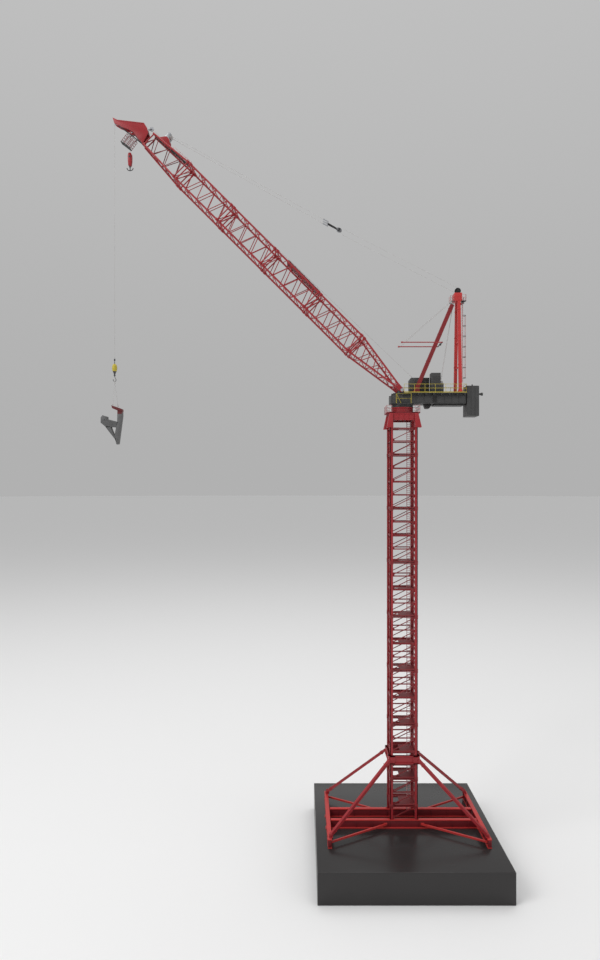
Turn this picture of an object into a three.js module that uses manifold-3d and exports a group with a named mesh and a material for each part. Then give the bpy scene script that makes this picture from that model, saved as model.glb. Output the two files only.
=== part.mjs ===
// Tower crane display model with a luffing jib. Millimetres, +Z up, jib towards -X, origin under the plinth's centre.
import * as THREE from 'three';
import { mergeVertices } from 'three/addons/utils/BufferGeometryUtils.js';
import Module from 'manifold-3d';

const wasm = await Module();
wasm.setup();
const { Manifold } = wasm;

// ---- driving dimensions ----
const PLINTH = { x: 150, y: 163, z: 50 };
const BEAM = { y: 21, end: 124.5, sill: 128.5, sillY: 92, tall: 15, flange: 6.6, web: 3.4, plate: 2.2 };
const FOOT_Z = PLINTH.z + BEAM.tall;
const TOWER = { half: 21, leg: 5, pitch: 23, top: 732, bar: 1.9, lace: 0.95 };
const FIRST_JOINT = 180;
const SECTION = 92;
const COLLAR = { low: 160, high: 174, out: 26.5 };
const STRUT = 4.8;
const HEAD = { low: 732, box: 745, top: 757, plate: 759, ring: 768, r: 19 };
const DECK = { left: -21, right: 107, half: 17, walk: 24, low: 773.6, top: 791.5 };
const PIVOT = new THREE.Vector3(-3, 0, 796);
const JIB = { half: 20.4, deep: 17.6, chord: 3, lace: 0.8, foot: 111, step: 104.75, neck: 530, end: 616 };
const JIB_ANGLE = 45;
const APEX = new THREE.Vector3(96.5, 0, 970.3);
const PENDANT_PIN = { s: 594.4, v: 30.8 };
const TIP = { s: 677.1, v: -18, r: 4 };
const MAIN = { s: 644.7, v: -12.6, r: 4 };
const ROPE = 0.45;
const GAP = 0.15;
const STEPS = 16;

const RED = new THREE.MeshStandardMaterial({ color: 0xb22d32, roughness: 0.45, metalness: 0.1 });
const BRIGHT = new THREE.MeshStandardMaterial({ color: 0xc8402f, roughness: 0.45, metalness: 0.1 });
const DARK_RED = new THREE.MeshStandardMaterial({ color: 0x6e1c20, roughness: 0.5, metalness: 0.1 });
const GREY = new THREE.MeshStandardMaterial({ color: 0x434446, roughness: 0.55, metalness: 0.1 });
const BLACK = new THREE.MeshStandardMaterial({ color: 0x1b1a1b, roughness: 0.5, metalness: 0.0 });
const YELLOW = new THREE.MeshStandardMaterial({ color: 0xc8b432, roughness: 0.5, metalness: 0.1 });
const PALE = new THREE.MeshStandardMaterial({ color: 0xc9a5a5, roughness: 0.5, metalness: 0.2 });
const STEEL = new THREE.MeshStandardMaterial({ color: 0x8d9094, roughness: 0.4, metalness: 0.8 });

const crane = new THREE.Group();
crane.name = 'toy_tower_crane';

// ---- solids ----
function solid(geometry) {
  const bare = geometry.clone();
  bare.deleteAttribute('normal');
  bare.deleteAttribute('uv');
  const joined = mergeVertices(bare, 1e-5);
  const vertProperties = new Float32Array(joined.attributes.position.array);
  const triVerts = new Uint32Array(joined.index.array);
  return new Manifold(new wasm.Mesh({ numProp: 3, vertProperties, triVerts }));
}

function box(x0, x1, y0, y1, z0, z1) {
  return solid(new THREE.BoxGeometry(x1 - x0, y1 - y0, z1 - z0)
    .translate((x0 + x1) / 2, (y0 + y1) / 2, (z0 + z1) / 2));
}

function join(parts) {
  return Manifold.union(parts);
}

function mirrorY(part) {
  return part.mirror([0, 1, 0]);
}

function bothSides(part) {
  return join([part, mirrorY(part)]);
}

// a straight bar from a to b, wide across and deep along the up direction
function bar(a, b, wide, deep = wide, up = new THREE.Vector3(0, 0, 1)) {
  const along = b.clone().sub(a);
  const length = along.length();
  along.normalize();
  const side = new THREE.Vector3().crossVectors(up, along);
  if (side.lengthSq() < 1e-6) side.crossVectors(new THREE.Vector3(0, 1, 0), along);
  side.normalize();
  const over = new THREE.Vector3().crossVectors(along, side);
  const turn = new THREE.Matrix4().makeBasis(side, over, along);
  const middle = a.clone().add(b).multiplyScalar(0.5);
  return solid(new THREE.BoxGeometry(wide, deep, length).applyMatrix4(turn).translate(middle.x, middle.y, middle.z));
}

function rod(a, b, r, sides = 6) {
  const along = b.clone().sub(a);
  const turn = new THREE.Quaternion().setFromUnitVectors(new THREE.Vector3(0, 1, 0), along.clone().normalize());
  const middle = a.clone().add(b).multiplyScalar(0.5);
  return solid(new THREE.CylinderGeometry(r, r, along.length(), sides)
    .applyQuaternion(turn).translate(middle.x, middle.y, middle.z));
}

function pin(x, z, r, y0, y1, sides = STEPS) {
  return rod(V(x, y0, z), V(x, y1, z), r, sides);
}

function bore(r) {
  return r / Math.cos(Math.PI / STEPS) + 0.05;
}

// a plate cut to a closed outline in the x-z plane
function plate(points, y0, y1) {
  const outline = new THREE.Shape(points.map(([x, z]) => new THREE.Vector2(x, z)));
  return solid(new THREE.ExtrudeGeometry(outline, { depth: y1 - y0, bevelEnabled: false, steps: 1 })
    .rotateX(Math.PI / 2).translate(0, y1, 0));
}

function spun(profile, sides = STEPS) {
  return solid(new THREE.LatheGeometry(profile.map(([r, z]) => new THREE.Vector2(r, z)), sides).rotateX(Math.PI / 2));
}

function along(points, r, steps, sides = 6) {
  const ring = new THREE.Shape();
  ring.absarc(0, 0, r, 0, Math.PI * 2, false);
  const path = new THREE.CatmullRomCurve3(points, false, 'centripetal');
  return solid(new THREE.ExtrudeGeometry(ring, { steps, extrudePath: path, curveSegments: Math.ceil(sides / 2) }));
}

function V(x, y, z) {
  return new THREE.Vector3(x, y, z);
}

function add(name, part, material, frame) {
  const data = part.getMesh();
  const geometry = new THREE.BufferGeometry();
  geometry.setAttribute('position', new THREE.BufferAttribute(new Float32Array(data.vertProperties), 3));
  geometry.setIndex(new THREE.BufferAttribute(new Uint32Array(data.triVerts), 1));
  const mesh = new THREE.Mesh(geometry, material);
  mesh.name = name;
  if (frame) {
    mesh.position.copy(frame.at);
    mesh.rotation.y = frame.turn;
  }
  crane.add(mesh);
}

// ---- plinth and ground frame ----
function plinth() {
  const edge = 0.8;
  const corners = [];
  for (const x of [-1, 1]) {
    for (const y of [-1, 1]) {
      corners.push([x * PLINTH.x, y * PLINTH.y, 0], [x * PLINTH.x, y * PLINTH.y, PLINTH.z - edge]);
      corners.push([x * (PLINTH.x - edge), y * (PLINTH.y - edge), PLINTH.z]);
    }
  }
  return Manifold.hull(corners);
}

function iBeam(length) {
  const { tall, flange, web, plate: t } = BEAM;
  const low = PLINTH.z;
  return join([
    box(-length, length, -flange / 2, flange / 2, low, low + t),
    box(-length, length, -web / 2, web / 2, low, low + tall),
    box(-length, length, -flange / 2, flange / 2, low + tall - t, low + tall),
  ]);
}

function crossBeam(side) {
  const beam = iBeam(BEAM.end - BEAM.flange / 2 + 4).translate([0, side * BEAM.y, 0]);
  const brace = (s) => bar(V(s * 34, side * BEAM.y, 57.5), V(s * 131, side * 88, 57.5), 3.3);
  const inside = box(-BEAM.sill + BEAM.web / 2, BEAM.sill - BEAM.web / 2, -200, 200, 0, 100);
  return join([beam, brace(-1), brace(1)]).intersect(inside);
}

function sill(side) {
  const beam = iBeam(BEAM.sillY).rotate([0, 0, 90]).translate([side * BEAM.sill, 0, 0]);
  const stiff = (y) => box(-BEAM.flange / 2, BEAM.flange / 2, y - 0.8, y + 0.8, 50, 65).translate([side * BEAM.sill, 0, 0]);
  return join([beam, stiff(-91.2), stiff(91.2)]);
}

function rakingStrut(sx, sy) {
  const low = V(sx * 126.5, sy * 83, FOOT_Z + 3);
  const high = V(sx * 20, sy * 20, 168.5);
  const run = bar(low, high, STRUT);
  const shoe = box(sx * 127 - 4.5, sx * 127 + 4.5, sy * 83 - 6, sy * 83 + 6, FOOT_Z, FOOT_Z + 3.4);
  const sideOf = (x, y) => [Math.min(x, y), Math.max(x, y)];
  const [x0, x1] = sideOf(sx * (COLLAR.out + 0.3), sx * 140);
  const outer = box(x0, x1, -140, 140, FOOT_Z, 200);
  return join([run, shoe]).intersect(outer);
}

function strutCollar() {
  const { low, high, out } = COLLAR;
  const legs = TOWER.half + TOWER.leg / 2;
  const ring = box(-out, out, -out, out, low, high).subtract(box(-legs, legs, -legs, legs, low - 1, high + 1));
  const window = (turn) => box(-12, 12, -40, 40, low + 5, high - 5).rotate([0, 0, turn]);
  return ring.subtract(window(0)).subtract(window(90));
}

// ---- tower ----
function ringAt(z, thick, wide = thick) {
  const h = TOWER.half;
  const rail = (s) => [box(-h, h, s * h - wide / 2, s * h + wide / 2, z - thick / 2, z + thick / 2),
    box(s * h - wide / 2, s * h + wide / 2, -h, h, z - thick / 2, z + thick / 2)];
  return [...rail(-1), ...rail(1)];
}

function thinRing(z, r) {
  const h = TOWER.half;
  return [-h, h].flatMap((s) => [rod(V(-h, s, z), V(h, s, z), r, 3), rod(V(s, -h, z), V(s, h, z), r, 3)]);
}

function floorAt(z) {
  const h = TOWER.half;
  const whole = box(-h - 1.5, h + 1.5, -h - 1.5, h + 1.5, z - 1.1, z + 1.1);
  return whole.subtract(box(-18, -6, -12, 12, z - 2, z + 2)).subtract(box(8.5, 17.5, 9.5, 14.5, z - 2, z + 2));
}

function towerSection(low, high, joints) {
  const { half: h, leg, pitch, bar: thin, lace } = TOWER;
  const bits = [];
  for (const x of [-h, h]) for (const y of [-h, h]) bits.push(box(x - leg / 2, x + leg / 2, y - leg / 2, y + leg / 2, low, high));
  bits.push(...ringAt(low + 0.9, 1.8, 3), floorAt(high - 1.1));
  for (let z = high - pitch; z > low + 2; z -= pitch) {
    const atJoint = joints.some((j) => Math.abs(j - z) < 1);
    bits.push(...(atJoint ? [floorAt(z)] : thinRing(z, thin * 0.6)));
  }
  for (let z = low; z < high - 2; z += pitch) {
    for (const s of [-1, 1]) {
      bits.push(rod(V(-h, s * h, z + 1), V(h, s * h, z + pitch - 1), lace, 3));
    }
  }
  for (let z = low + (high - low) % (2 * pitch); z < high - 2; z += 2 * pitch) {
    for (const s of [-1, 1]) bits.push(rod(V(s * h, -s * h, z + 1), V(s * h, s * h, z + 2 * pitch - 1), lace, 3));
  }
  return join(bits);
}

function ladder(x, y, low, high, step, wide = 6) {
  const rails = [-1, 1].map((s) => box(x + s * wide / 2 - 0.5, x + s * wide / 2 + 0.5, y - 0.6, y + 0.6, low, high));
  const rungs = [];
  for (let z = low + step / 2; z < high; z += step) rungs.push(box(x - wide / 2, x + wide / 2, y - 0.35, y + 0.35, z - 0.35, z + 0.35));
  return join([...rails, ...rungs]);
}

function towerHead() {
  const { low, box: boxLow, top } = HEAD;
  const bits = [box(-23.5, 23.5, -23.5, 23.5, boxLow, top)
    .subtract(box(-15, 15, -15, 15, boxLow - 1, top + 1))];
  for (const x of [-1, 1]) {
    for (const y of [-1, 1]) {
      bits.push(Manifold.hull([
        [x * 18.5, y * 18.5, low], [x * 29.5, y * 18.5, low], [x * 18.5, y * 29.5, low], [x * 29.5, y * 29.5, low],
        [x * 18.5, y * 18.5, top], [x * 24.5, y * 18.5, top], [x * 18.5, y * 24.5, top], [x * 24.5, y * 24.5, top],
      ]));
    }
  }
  return join(bits);
}

function railing(corners, low, high, rails, post, every, thick) {
  const bits = [];
  corners.slice(1).forEach((b, i) => {
    const a = corners[i];
    for (const z of rails) bits.push(bar(V(a[0], a[1], z), V(b[0], b[1], z), thick));
    const run = Math.hypot(b[0] - a[0], b[1] - a[1]);
    const count = Math.max(1, Math.round(run / every));
    for (let n = 0; n <= count; n += 1) {
      const x = a[0] + (b[0] - a[0]) * n / count;
      const y = a[1] + (b[1] - a[1]) * n / count;
      bits.push(box(x - post / 2, x + post / 2, y - post / 2, y + post / 2, low, high));
    }
  });
  return bits;
}

function headWalkway() {
  const { top, plate: up } = HEAD;
  const floor = box(14, 28.6, -19, 19, top, up);
  const side = join([floor, ...railing([[20, -18.6], [28.2, -18.6], [28.2, 18.6], [20, 18.6]], up - 0.5, 770.9, [765, 770.3], 1.0, 18.6, 0.7)]);
  return join([side, side.mirror([1, 0, 0]), box(-24, 24, 14, 19, top, up), box(-24, 24, -19, -14, top, up)]);
}

function slewRing() {
  const { plate: low, ring: high, r } = HEAD;
  return spun([[0, low], [r, low], [r, high - 1.2], [r - 1.5, high - 1.2], [r - 1.5, high - 0.3], [0, high - 0.3]], 32)
    .subtract(rod(V(0, 0, low - 1), V(0, 0, high + 1), 12, 24));
}

// ---- upperworks ----
function turntable() {
  const { ring: low, r } = HEAD;
  return spun([[0, low], [r, low], [r, low + 3], [r - 1, DECK.low], [0, DECK.low]], 32)
    .subtract(rod(V(0, 0, low - 1), V(0, 0, DECK.low + 1), 12, 24));
}

function deckFrame() {
  const { left, right, half, walk, low, top } = DECK;
  const girder = plate([[left, low], [right, low], [right, top], [left + 4, top], [left, top - 4]], -half, half);
  const walkway = box(-4, right, -walk, walk, top - 1.3, top);
  const slot = box(50.7, 56.7, -half - 1, -half + 3.5, 775, 787);
  const belly = plate([[37, 773.6], [39.5, 766], [46, 766], [50.6, 773.6]], -7, 7);
  const tray = box(53, 105, -12, 12, 770.8, 773.6);
  const lug = (s) => join([plate([[-8, top - 1], [3, top - 1], [0.4, 799], [-6.4, 799]], 13, 17)]
    .map((p) => (s > 0 ? p : mirrorY(p))));
  const holes = pin(PIVOT.x, PIVOT.z, bore(2), -25, 25);
  return join([girder.subtract(slot), walkway, belly, tray, lug(1), lug(-1)]).subtract(holes);
}

function deckCage() {
  const y0 = -24.4;
  const y1 = -17.6;
  const floor = box(-13, 13, y0, -19.3, 772.4, 773.4);
  const rails = railing([[-12.6, y1], [-12.6, y0], [12.6, y0], [12.6, y1]], 773, 790.1, [780, 789.4], 1.1, 12.6, 0.8);
  const brace = bar(V(-12.6, y0, 773), V(-4, y0, 789.4), 0.8);
  return join([floor, ...rails, brace]);
}

function counterweight() {
  const body = box(DECK.right + 2, 130, -15.4, 15.4, 752.5, 804);
  const mount = box(DECK.right, DECK.right + 2.2, -12, 12, 776, 790);
  const groove = (x) => box(x - 0.25, x + 0.25, -16, -15, 752, 805);
  const stub = rod(V(129, 0, 791.5), V(137, 0, 791.5), 1.7, 12);
  const knob = rod(V(136.5, 0, 791.5), V(139.8, 0, 791.5), 2.7, 6);
  return join([body, mount, stub, knob]).subtract(join([groove(116), groove(123)]));
}

const DRUM = { x: 25.3, z: 806, r: 7.4, flange: 9.1 };

function winchHouse() {
  const shell = plate([[13.7, 791.5], [48.4, 791.5], [48.4, 821], [16.6, 821], [13.7, 817.6]], 6, 21);
  const room = box(15.7, 36.7, 8.4, 22, 793.5, 818.6);
  const roofSlot = box(17.3, 30.3, 12, 18, 812, 824);
  const post = box(DRUM.x - 2.5, DRUM.x + 2.5, 20.2, 21, 792, 810);
  return join([shell.subtract(room).subtract(roofSlot), post]).subtract(pin(DRUM.x, DRUM.z, bore(1.8), 5, 23));
}

function hoistDrum() {
  const { x, z, r, flange } = DRUM;
  const bits = [pin(x, z, r, 9.6, 19.2), pin(x, z, flange, 8.9, 9.9), pin(x, z, flange, 18.9, 19.9), pin(x, z, 1.8, 4.8, 21.8)];
  return join(bits);
}

function powerPack() {
  const tall = box(48.6, 65, -12, 5.4, 791.5, 827);
  const step = box(64, 70, -12, 5.4, 791.5, 809);
  const ribs = [804, 808, 812, 816, 820].map((z) => box(51, 62.6, -13, -11.5, z - 0.7, z + 0.7));
  return join([tall, step]).subtract(join(ribs));
}

function deckHandrail() {
  const y = DECK.walk - 0.6;
  const { right, top } = DECK;
  const kick = [box(0, right, -y - 0.5, -y + 0.5, top, top + 1.6), box(0, right, y - 0.5, y + 0.5, top, top + 1.6),
    box(right - 1, right, -y, y, top, top + 1.6)];
  const loop = [[0.5, -y], [right - 0.5, -y], [right - 0.5, y], [0.5, y]];
  return join([...kick, ...railing(loop, top + 0.4, 806.7, [799, 806], 1.1, 38, 0.8)]);
}

function aframeBackLegs() {
  const leg = bar(V(96.5, 20.5, DECK.top + 2), V(96.5, 9, 951), 4.8, 5.2, V(1, 0, 0));
  const shoe = box(91, 102, 16.5, 24 - 1.4, DECK.top, DECK.top + 3);
  const tie = (z, t) => box(95.4, 97.6, -22, 22, z - t / 2, z + t / 2);
  const reach = (z) => 20.5 - (z - 793.5) * (11.5 / 157.5);
  const ties = [937, 880].map((z) => tie(z, 2.2).intersect(box(90, 104, -reach(z) - 1, reach(z) + 1, z - 5, z + 5)));
  return join([bothSides(leg), bothSides(shoe), ...ties]).intersect(box(80, 110, -40, 40, DECK.top, 950.7));
}

function strutLine() {
  return [V(21.2, 0, DECK.top), V(91.2, 0, 956)];
}

function aframeFrontStrut() {
  const [a, b] = strutLine();
  const dir = b.clone().sub(a).normalize();
  const run = bar(a.clone().addScaledVector(dir, -6), b, 7, 7, V(-1, 0, 0.4));
  const shoe = box(15.5, 33, -5.4, 5.4, DECK.top, DECK.top + 3);
  return join([run, shoe]).intersect(box(0, 88.6, -40, 40, DECK.top, 990));
}

function aframeHead() {
  const block = box(88.9, 102, -10.5, 10.5, 951, 965);
  const cheek = plate([[90.5, 964], [101.5, 964], [98.5, 974.6], [94.5, 974.6]], 2.3, 4.3);
  const holes = pin(APEX.x, APEX.z, bore(1.6), -12, 12);
  const left = box(82.5, 90, 4.9, 7.2, 950.4, 951.6);
  const right = box(101, 109.3, 4.9, 10.4, 950.4, 951.6);
  const bracket = plate([[101, 951], [107.4, 951], [107.4, 949.4], [101, 946.6]], 8, 9.4);
  const leftRail = railing([[89.4, 6.7], [83, 6.7], [83, 5.4]], 951, 961.1, [956, 960.6], 1.0, 16, 0.7);
  const rightRail = railing([[101.4, 9.9], [108.8, 9.9], [108.8, 5.5]], 951, 962.1, [956.5, 961.6], 1.0, 16, 0.7);
  const side = join([cheek, left, right, bracket, ...leftRail, ...rightRail]);
  return join([block, side, mirrorY(side)]).subtract(holes);
}

function aframeLadder() {
  const x = 104.6;
  const out = x + 6;
  const rails = [-3, 3].map((y) => box(x - 0.45, x + 0.45, y - 0.45, y + 0.45, 812, 957));
  const rungs = [];
  for (let z = 828.6; z < 950; z += 18) rungs.push(box(x - 0.3, x + 0.3, -3, 3, z - 0.35, z + 0.35));
  const hoops = [];
  for (let z = 819.6; z < 930; z += 18) {
    hoops.push(box(x, out, -4.3, -3.5, z - 0.4, z + 0.4), box(x, out, 3.5, 4.3, z - 0.4, z + 0.4),
      box(out - 0.8, out, -4.3, 4.3, z - 0.4, z + 0.4), box(x - 0.45, x + 0.45, -4.3, 4.3, z - 0.4, z + 0.4));
  }
  const strip = box(out - 0.7, out - 0.1, -0.5, 0.5, 819.6, 928);
  const stays = [box(102.3, x, -0.5, 0.5, 948, 949), box(99.2, x, -3.4, -2.6, 814, 815), box(99.2, x, 2.6, 3.4, 814, 815)];
  return join([...rails, ...rungs, ...hoops, strip, ...stays, box(x - 0.45, x + 0.45, -3, 3, 948, 949)]);
}

function bufferRods() {
  const z = 877.6;
  const rail = rod(V(-4.4, 20, z), V(66.5, 20, z), 0.95, 8);
  const tip = rod(V(-4.4, 20, z), V(-1.4, 20, z), 1.6, 8);
  const tie = rod(V(66, -20.6, z), V(66, 20.6, z), 1.05, 8);
  const clamp = box(64.95, 67.6, -3.4, 3.4, z - 1.6, z + 1.6);
  const stay = rod(V(0, 20, z), V(88.2, 8.2, 955), 0.4, 5);
  return join([bothSides(rail), bothSides(tip), tie, clamp, bothSides(stay)]);
}

// ---- jib, drawn along its own axis: s runs out from the foot pin, v is square to it, towards the back ----
const jibFrame = { at: PIVOT, turn: THREE.MathUtils.degToRad(JIB_ANGLE) };

function J(s, y, v) {
  return V(-s, y, v);
}

function jibBar(a, b, thick) {
  return bar(J(...a), J(...b), thick, thick, V(0, 1, 0.01));
}

function jibRod(a, b, r) {
  return rod(J(...a), J(...b), r, 3);
}

function jibPlate(points, y0, y1) {
  return plate(points.map(([s, v]) => [-s, v]).reverse(), y0, y1);
}

// size of the lattice at station s: half width across, half depth
function lattice(s) {
  const { half, deep, foot, neck, end } = JIB;
  if (s < foot) return { y: half, v: 2.2 + (deep - 2.2) * Math.max(0, s - 8) / (foot - 8) };
  if (s > neck) {
    const t = (s - neck) / (end - neck);
    return { y: half + (8 - half) * t, v: deep + (12.5 - deep) * t };
  }
  return { y: half, v: deep };
}

function jibLattice(s0, s1, panels, cross = true) {
  const bits = [];
  const a = lattice(s0);
  const b = lattice(s1);
  const { chord, lace } = JIB;
  for (const y of [-1, 1]) {
    for (const v of [-1, 1]) bits.push(jibBar([s0, y * a.y, v * a.v], [s1, y * b.y, v * b.v], chord));
    for (let n = 0; n < panels; n += 1) {
      const p = s0 + (s1 - s0) * n / panels;
      const q = s0 + (s1 - s0) * (n + 1) / panels;
      const m = (p + q) / 2;
      const [P, Q, M] = [lattice(p), lattice(q), lattice(m)];
      bits.push(jibRod([p, y * P.y, y * P.v], [m, y * M.y, -y * M.v], lace), jibRod([m, y * M.y, -y * M.v], [q, y * Q.y, y * Q.v], lace));
    }
  }
  for (const v of [-1, 1]) {
    for (let n = 0; n < panels && cross; n += 1) {
      const p = s0 + (s1 - s0) * n / panels;
      const q = s0 + (s1 - s0) * (n + 1) / panels;
      const side = n % 2 ? 1 : -1;
      bits.push(jibRod([p, side * lattice(p).y, v * lattice(p).v], [q, -side * lattice(q).y, v * lattice(q).v], lace));
    }
  }
  return bits;
}

function jibFrameAt(s, thick) {
  const { y, v } = lattice(s);
  return [jibBar([s, -y, v], [s, y, v], thick), jibBar([s, -y, -v], [s, y, -v], thick),
    jibBar([s, -y, -v], [s, -y, v], thick), jibBar([s, y, -v], [s, y, v], thick)];
}

function between(s0, s1) {
  return box(-s1 + GAP, -s0 - GAP, -40, 40, -60, 60);
}

function jibFoot() {
  const { foot, half } = JIB;
  const cheek = jibPlate([[-3.4, -2.4], [-3.4, 2.4], [0, 3.6], [26, 7], [26, -7], [0, -3.6]], half - 2, half + 1);
  const bits = [...jibLattice(8, foot, 3), ...jibFrameAt(foot - 1.5, 2.4), bothSides(cheek)];
  return join(bits).intersect(box(-foot + GAP, 4, -40, 40, -60, 60))
    .subtract(pin(0, 0, bore(2), -25, 25));
}

function jibFootPin() {
  return join([pin(PIVOT.x, PIVOT.z, 2, -22.6, 22.6), pin(PIVOT.x, PIVOT.z, 3, 21.7, 22.8), pin(PIVOT.x, PIVOT.z, 3, -22.8, -21.7)]);
}

function jibSection(n) {
  const s0 = JIB.foot + JIB.step * n;
  const s1 = s0 + JIB.step;
  const bits = [...jibLattice(s0, s1, 4), ...jibFrameAt(s0 + 1.4, 2.4)];
  if (n === 1) bits.push(jibPlate([[217.5, JIB.deep + 0.5], [295, JIB.deep + 0.5], [295, JIB.deep + 4.4], [217.5, JIB.deep + 4.4]], -14, 14),
    jibBar([256, -JIB.half, JIB.deep + 0.8], [256, JIB.half, JIB.deep + 0.8], 2.2));
  return join(bits).intersect(between(s0, s1));
}

function jibTop() {
  const { neck, end } = JIB;
  const bits = [...jibLattice(neck, end, 3), ...jibFrameAt(neck + 1.4, 2.4), ...jibFrameAt(end - 1.4, 2.4)];
  const { s, v } = PENDANT_PIN;
  const ear = jibPlate([[580, 12.5], [604, 11.5], [602.5, 15.4], [s + 1.4, 24.8], [s - 6.5, 24.4], [583.5, 20], [580, 17]], 7, 9);
  const link = jibPlate([[s - 5, 21], [s + 3, 21], [s + 2.6, v + 1.6], [s, v + 2.8], [s - 2.6, v + 1.6]], 7.2, 8.8);
  const across = jibBar([592, -9, 14], [592, 9, 14], 2.4);
  bits.push(bothSides(ear), bothSides(link), across, pin(-s, v, 1.5, -9.4, 9.4));
  const walk = [bar(J(532, 0, 17.9), J(614, 0, 12.4), 1.2, 12, V(0, 1, 0.01)), jibBar([533, -19.4, 17.8], [533, 19.4, 17.8], 1.6)];
  return join([...bits, ...walk]).intersect(between(neck, end));
}

function jibHead() {
  const { end } = JIB;
  const web = jibPlate([[end, -12.8], [622.6, 7.3], [630, 11.5], [640, 13.8], [677, -14.4], [686.5, -17.4], [677, -22.3], [667.4, -19.9],
    [651, -12.9], [642.3, -10.4], [629.2, -12.3]], -8, 8);
  const trim = Manifold.hull([[-end, -9.6, -40], [-end, 9.6, -40], [-end, -9.6, 40], [-end, 9.6, 40],
    [-692, -4.2, -40], [-692, 4.2, -40], [-692, -4.2, 40], [-692, 4.2, 40]]);
  const hollow = jibPlate([[end - 2, -10.6], [end - 2, 9], [634, 9], [634, -9.4]], -5.6, 5.6);
  const ear = Manifold.hull([...[1.9, 3.9].flatMap((y) => [[-636, y, -4], [-654, y, -4], [-MAIN.s - 2.6, y, MAIN.v - 2],
    [-MAIN.s + 2.6, y, MAIN.v - 2], [-MAIN.s, y, MAIN.v - 3]])]);
  const tipRoom = pin(-TIP.s, TIP.v, TIP.r + 1.5, -1.6, 1.6);
  const mainRoom = pin(-MAIN.s, MAIN.v, MAIN.r + 1.3, -1.7, 1.7);
  const shape = join([web.intersect(trim).subtract(hollow), bothSides(ear)]);
  const pins = join([pin(-TIP.s, TIP.v, bore(1.2), -9, 9), pin(-MAIN.s, MAIN.v, bore(1.2), -9, 9)]);
  return shape.subtract(tipRoom).subtract(mainRoom).subtract(pins).intersect(box(-700, -end - GAP, -40, 40, -60, 60));
}

function sheave(x, z, r, half, hub, span) {
  const groove = r - 1.1;
  return spun([[0, -span], [hub, -span], [hub, -half], [r, -half], [groove, -half + 0.5], [groove, half - 0.5], [r, half],
    [hub, half], [hub, span], [0, span]]).rotate([90, 0, 0]).translate([x, 0, z]);
}

// a point in the basket's own plane: a along its width, b up
function inBasket(a, b) {
  const tilt = THREE.MathUtils.degToRad(7.5);
  return [630.4 + a * Math.cos(tilt) + b * Math.sin(tilt), -29.3 - a * Math.sin(tilt) + b * Math.cos(tilt)];
}

function headBasket() {
  const near = -20;
  const far = -9.6;
  const w = 10.1;
  const at = (a, b, y) => { const [s, v] = inBasket(a, b); return [s, y, v]; };
  const rail = [jibBar([617, -9.1, -14.4], [666.5, -9.1, -20.6], 1.6), jibBar([664, -9.1, -20.3], [664, -7.2, -19.6], 1.4)];
  const floor = jibPlate([inBasket(-w, -8.9), inBasket(w, -8.9), inBasket(w, -7.3), inBasket(-w, -7.3)], near, far);
  const bits = [floor];
  for (const y of [near + 0.5, far - 0.5]) {
    for (const a of [-w + 0.5, w - 0.5]) bits.push(jibBar(at(a, -8, y), at(a, 8.9, y), 0.9));
    for (const b of [8.4, 3, -2.6]) bits.push(jibBar(at(-w, b, y), at(w, b, y), 0.8));
  }
  for (const a of [-w + 0.5, w - 0.5]) for (const b of [8.4, 3, -2.6]) bits.push(jibBar(at(a, b, near + 0.1), at(a, b, far - 0.1), 0.8));
  for (const a of [-6, 6]) bits.push(jibBar(at(a, 8.2, -10), at(a, 13.6, -9.2), 1.3));
  return join([...rail, ...bits]).subtract(box(-700, -640, -7.0, 40, -60, 60));
}

// ---- ropes, hooks and load ----
const C = Math.SQRT1_2;
function fromJib(s, v) {
  return V(PIVOT.x + (v - s) * C, 0, PIVOT.z + (v + s) * C);
}
const TIP_AT = fromJib(TIP.s, TIP.v);
const MAIN_AT = fromJib(MAIN.s, MAIN.v);
const PIN_AT = fromJib(PENDANT_PIN.s, PENDANT_PIN.v);
const LEAD_AT = fromJib(628, 17.8);
const WHIP_X = TIP_AT.x - TIP.r + 0.45;
const MAIN_X = MAIN_AT.x - MAIN.r + 0.45;

function arc(centre, r, from, to, count) {
  return Array.from({ length: count + 1 }, (_, n) => {
    const a = THREE.MathUtils.degToRad(from + (to - from) * n / count);
    return V(centre.x + r * Math.cos(a), 0, centre.z + r * Math.sin(a));
  });
}

function whipLead() {
  const r = TIP.r - 0.45;
  const wrap = along(arc(TIP_AT, r, 110, 182, 5), ROPE, 5, 6);
  return join([wrap, rod(V(WHIP_X, 0, TIP_AT.z - 6.5), V(WHIP_X, 0, TIP_AT.z + 0.2), ROPE, 6)]);
}

function whipRope() {
  return rod(V(WHIP_X, 0, 853.3), V(WHIP_X, 0, TIP_AT.z - 6.8), ROPE, 6);
}

function hookBall() {
  const profile = [[0, 853], [1.1, 853], [1.3, 851], [1, 848.5], [1.3, 845.5], [3.2, 843], [4.3, 839], [4.3, 834.6], [3.1, 831],
    [1.6, 828.6], [1.6, 826.8], [0, 826.8]];
  return spun(profile.reverse(), 12).translate([WHIP_X, 0, 0]);
}

function hookShape(x, top, bottom, thick) {
  const r = (top - bottom) * 0.3;
  const c = V(x, 0, bottom + r + thick);
  const curve = [V(x, 0, top), V(x, 0, top - 1.6), V(x + r * 0.9, 0, c.z + r * 0.5), V(x + r, 0, c.z - r * 0.3), V(x, 0, c.z - r),
    V(x - r, 0, c.z - r * 0.2), V(x - r * 0.8, 0, c.z + r * 0.45)];
  return along(curve, thick, 16, 6);
}

function whipHook() {
  const shank = rod(V(WHIP_X, 0, 822.4), V(WHIP_X, 0, 826.5), 1.2, STEPS);
  return join([shank, hookShape(WHIP_X, 823.6, 812.6, 0.9)]);
}

const LOAD_X = WHIP_X + 1.2;
const RING_Z = 812.4;

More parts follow.
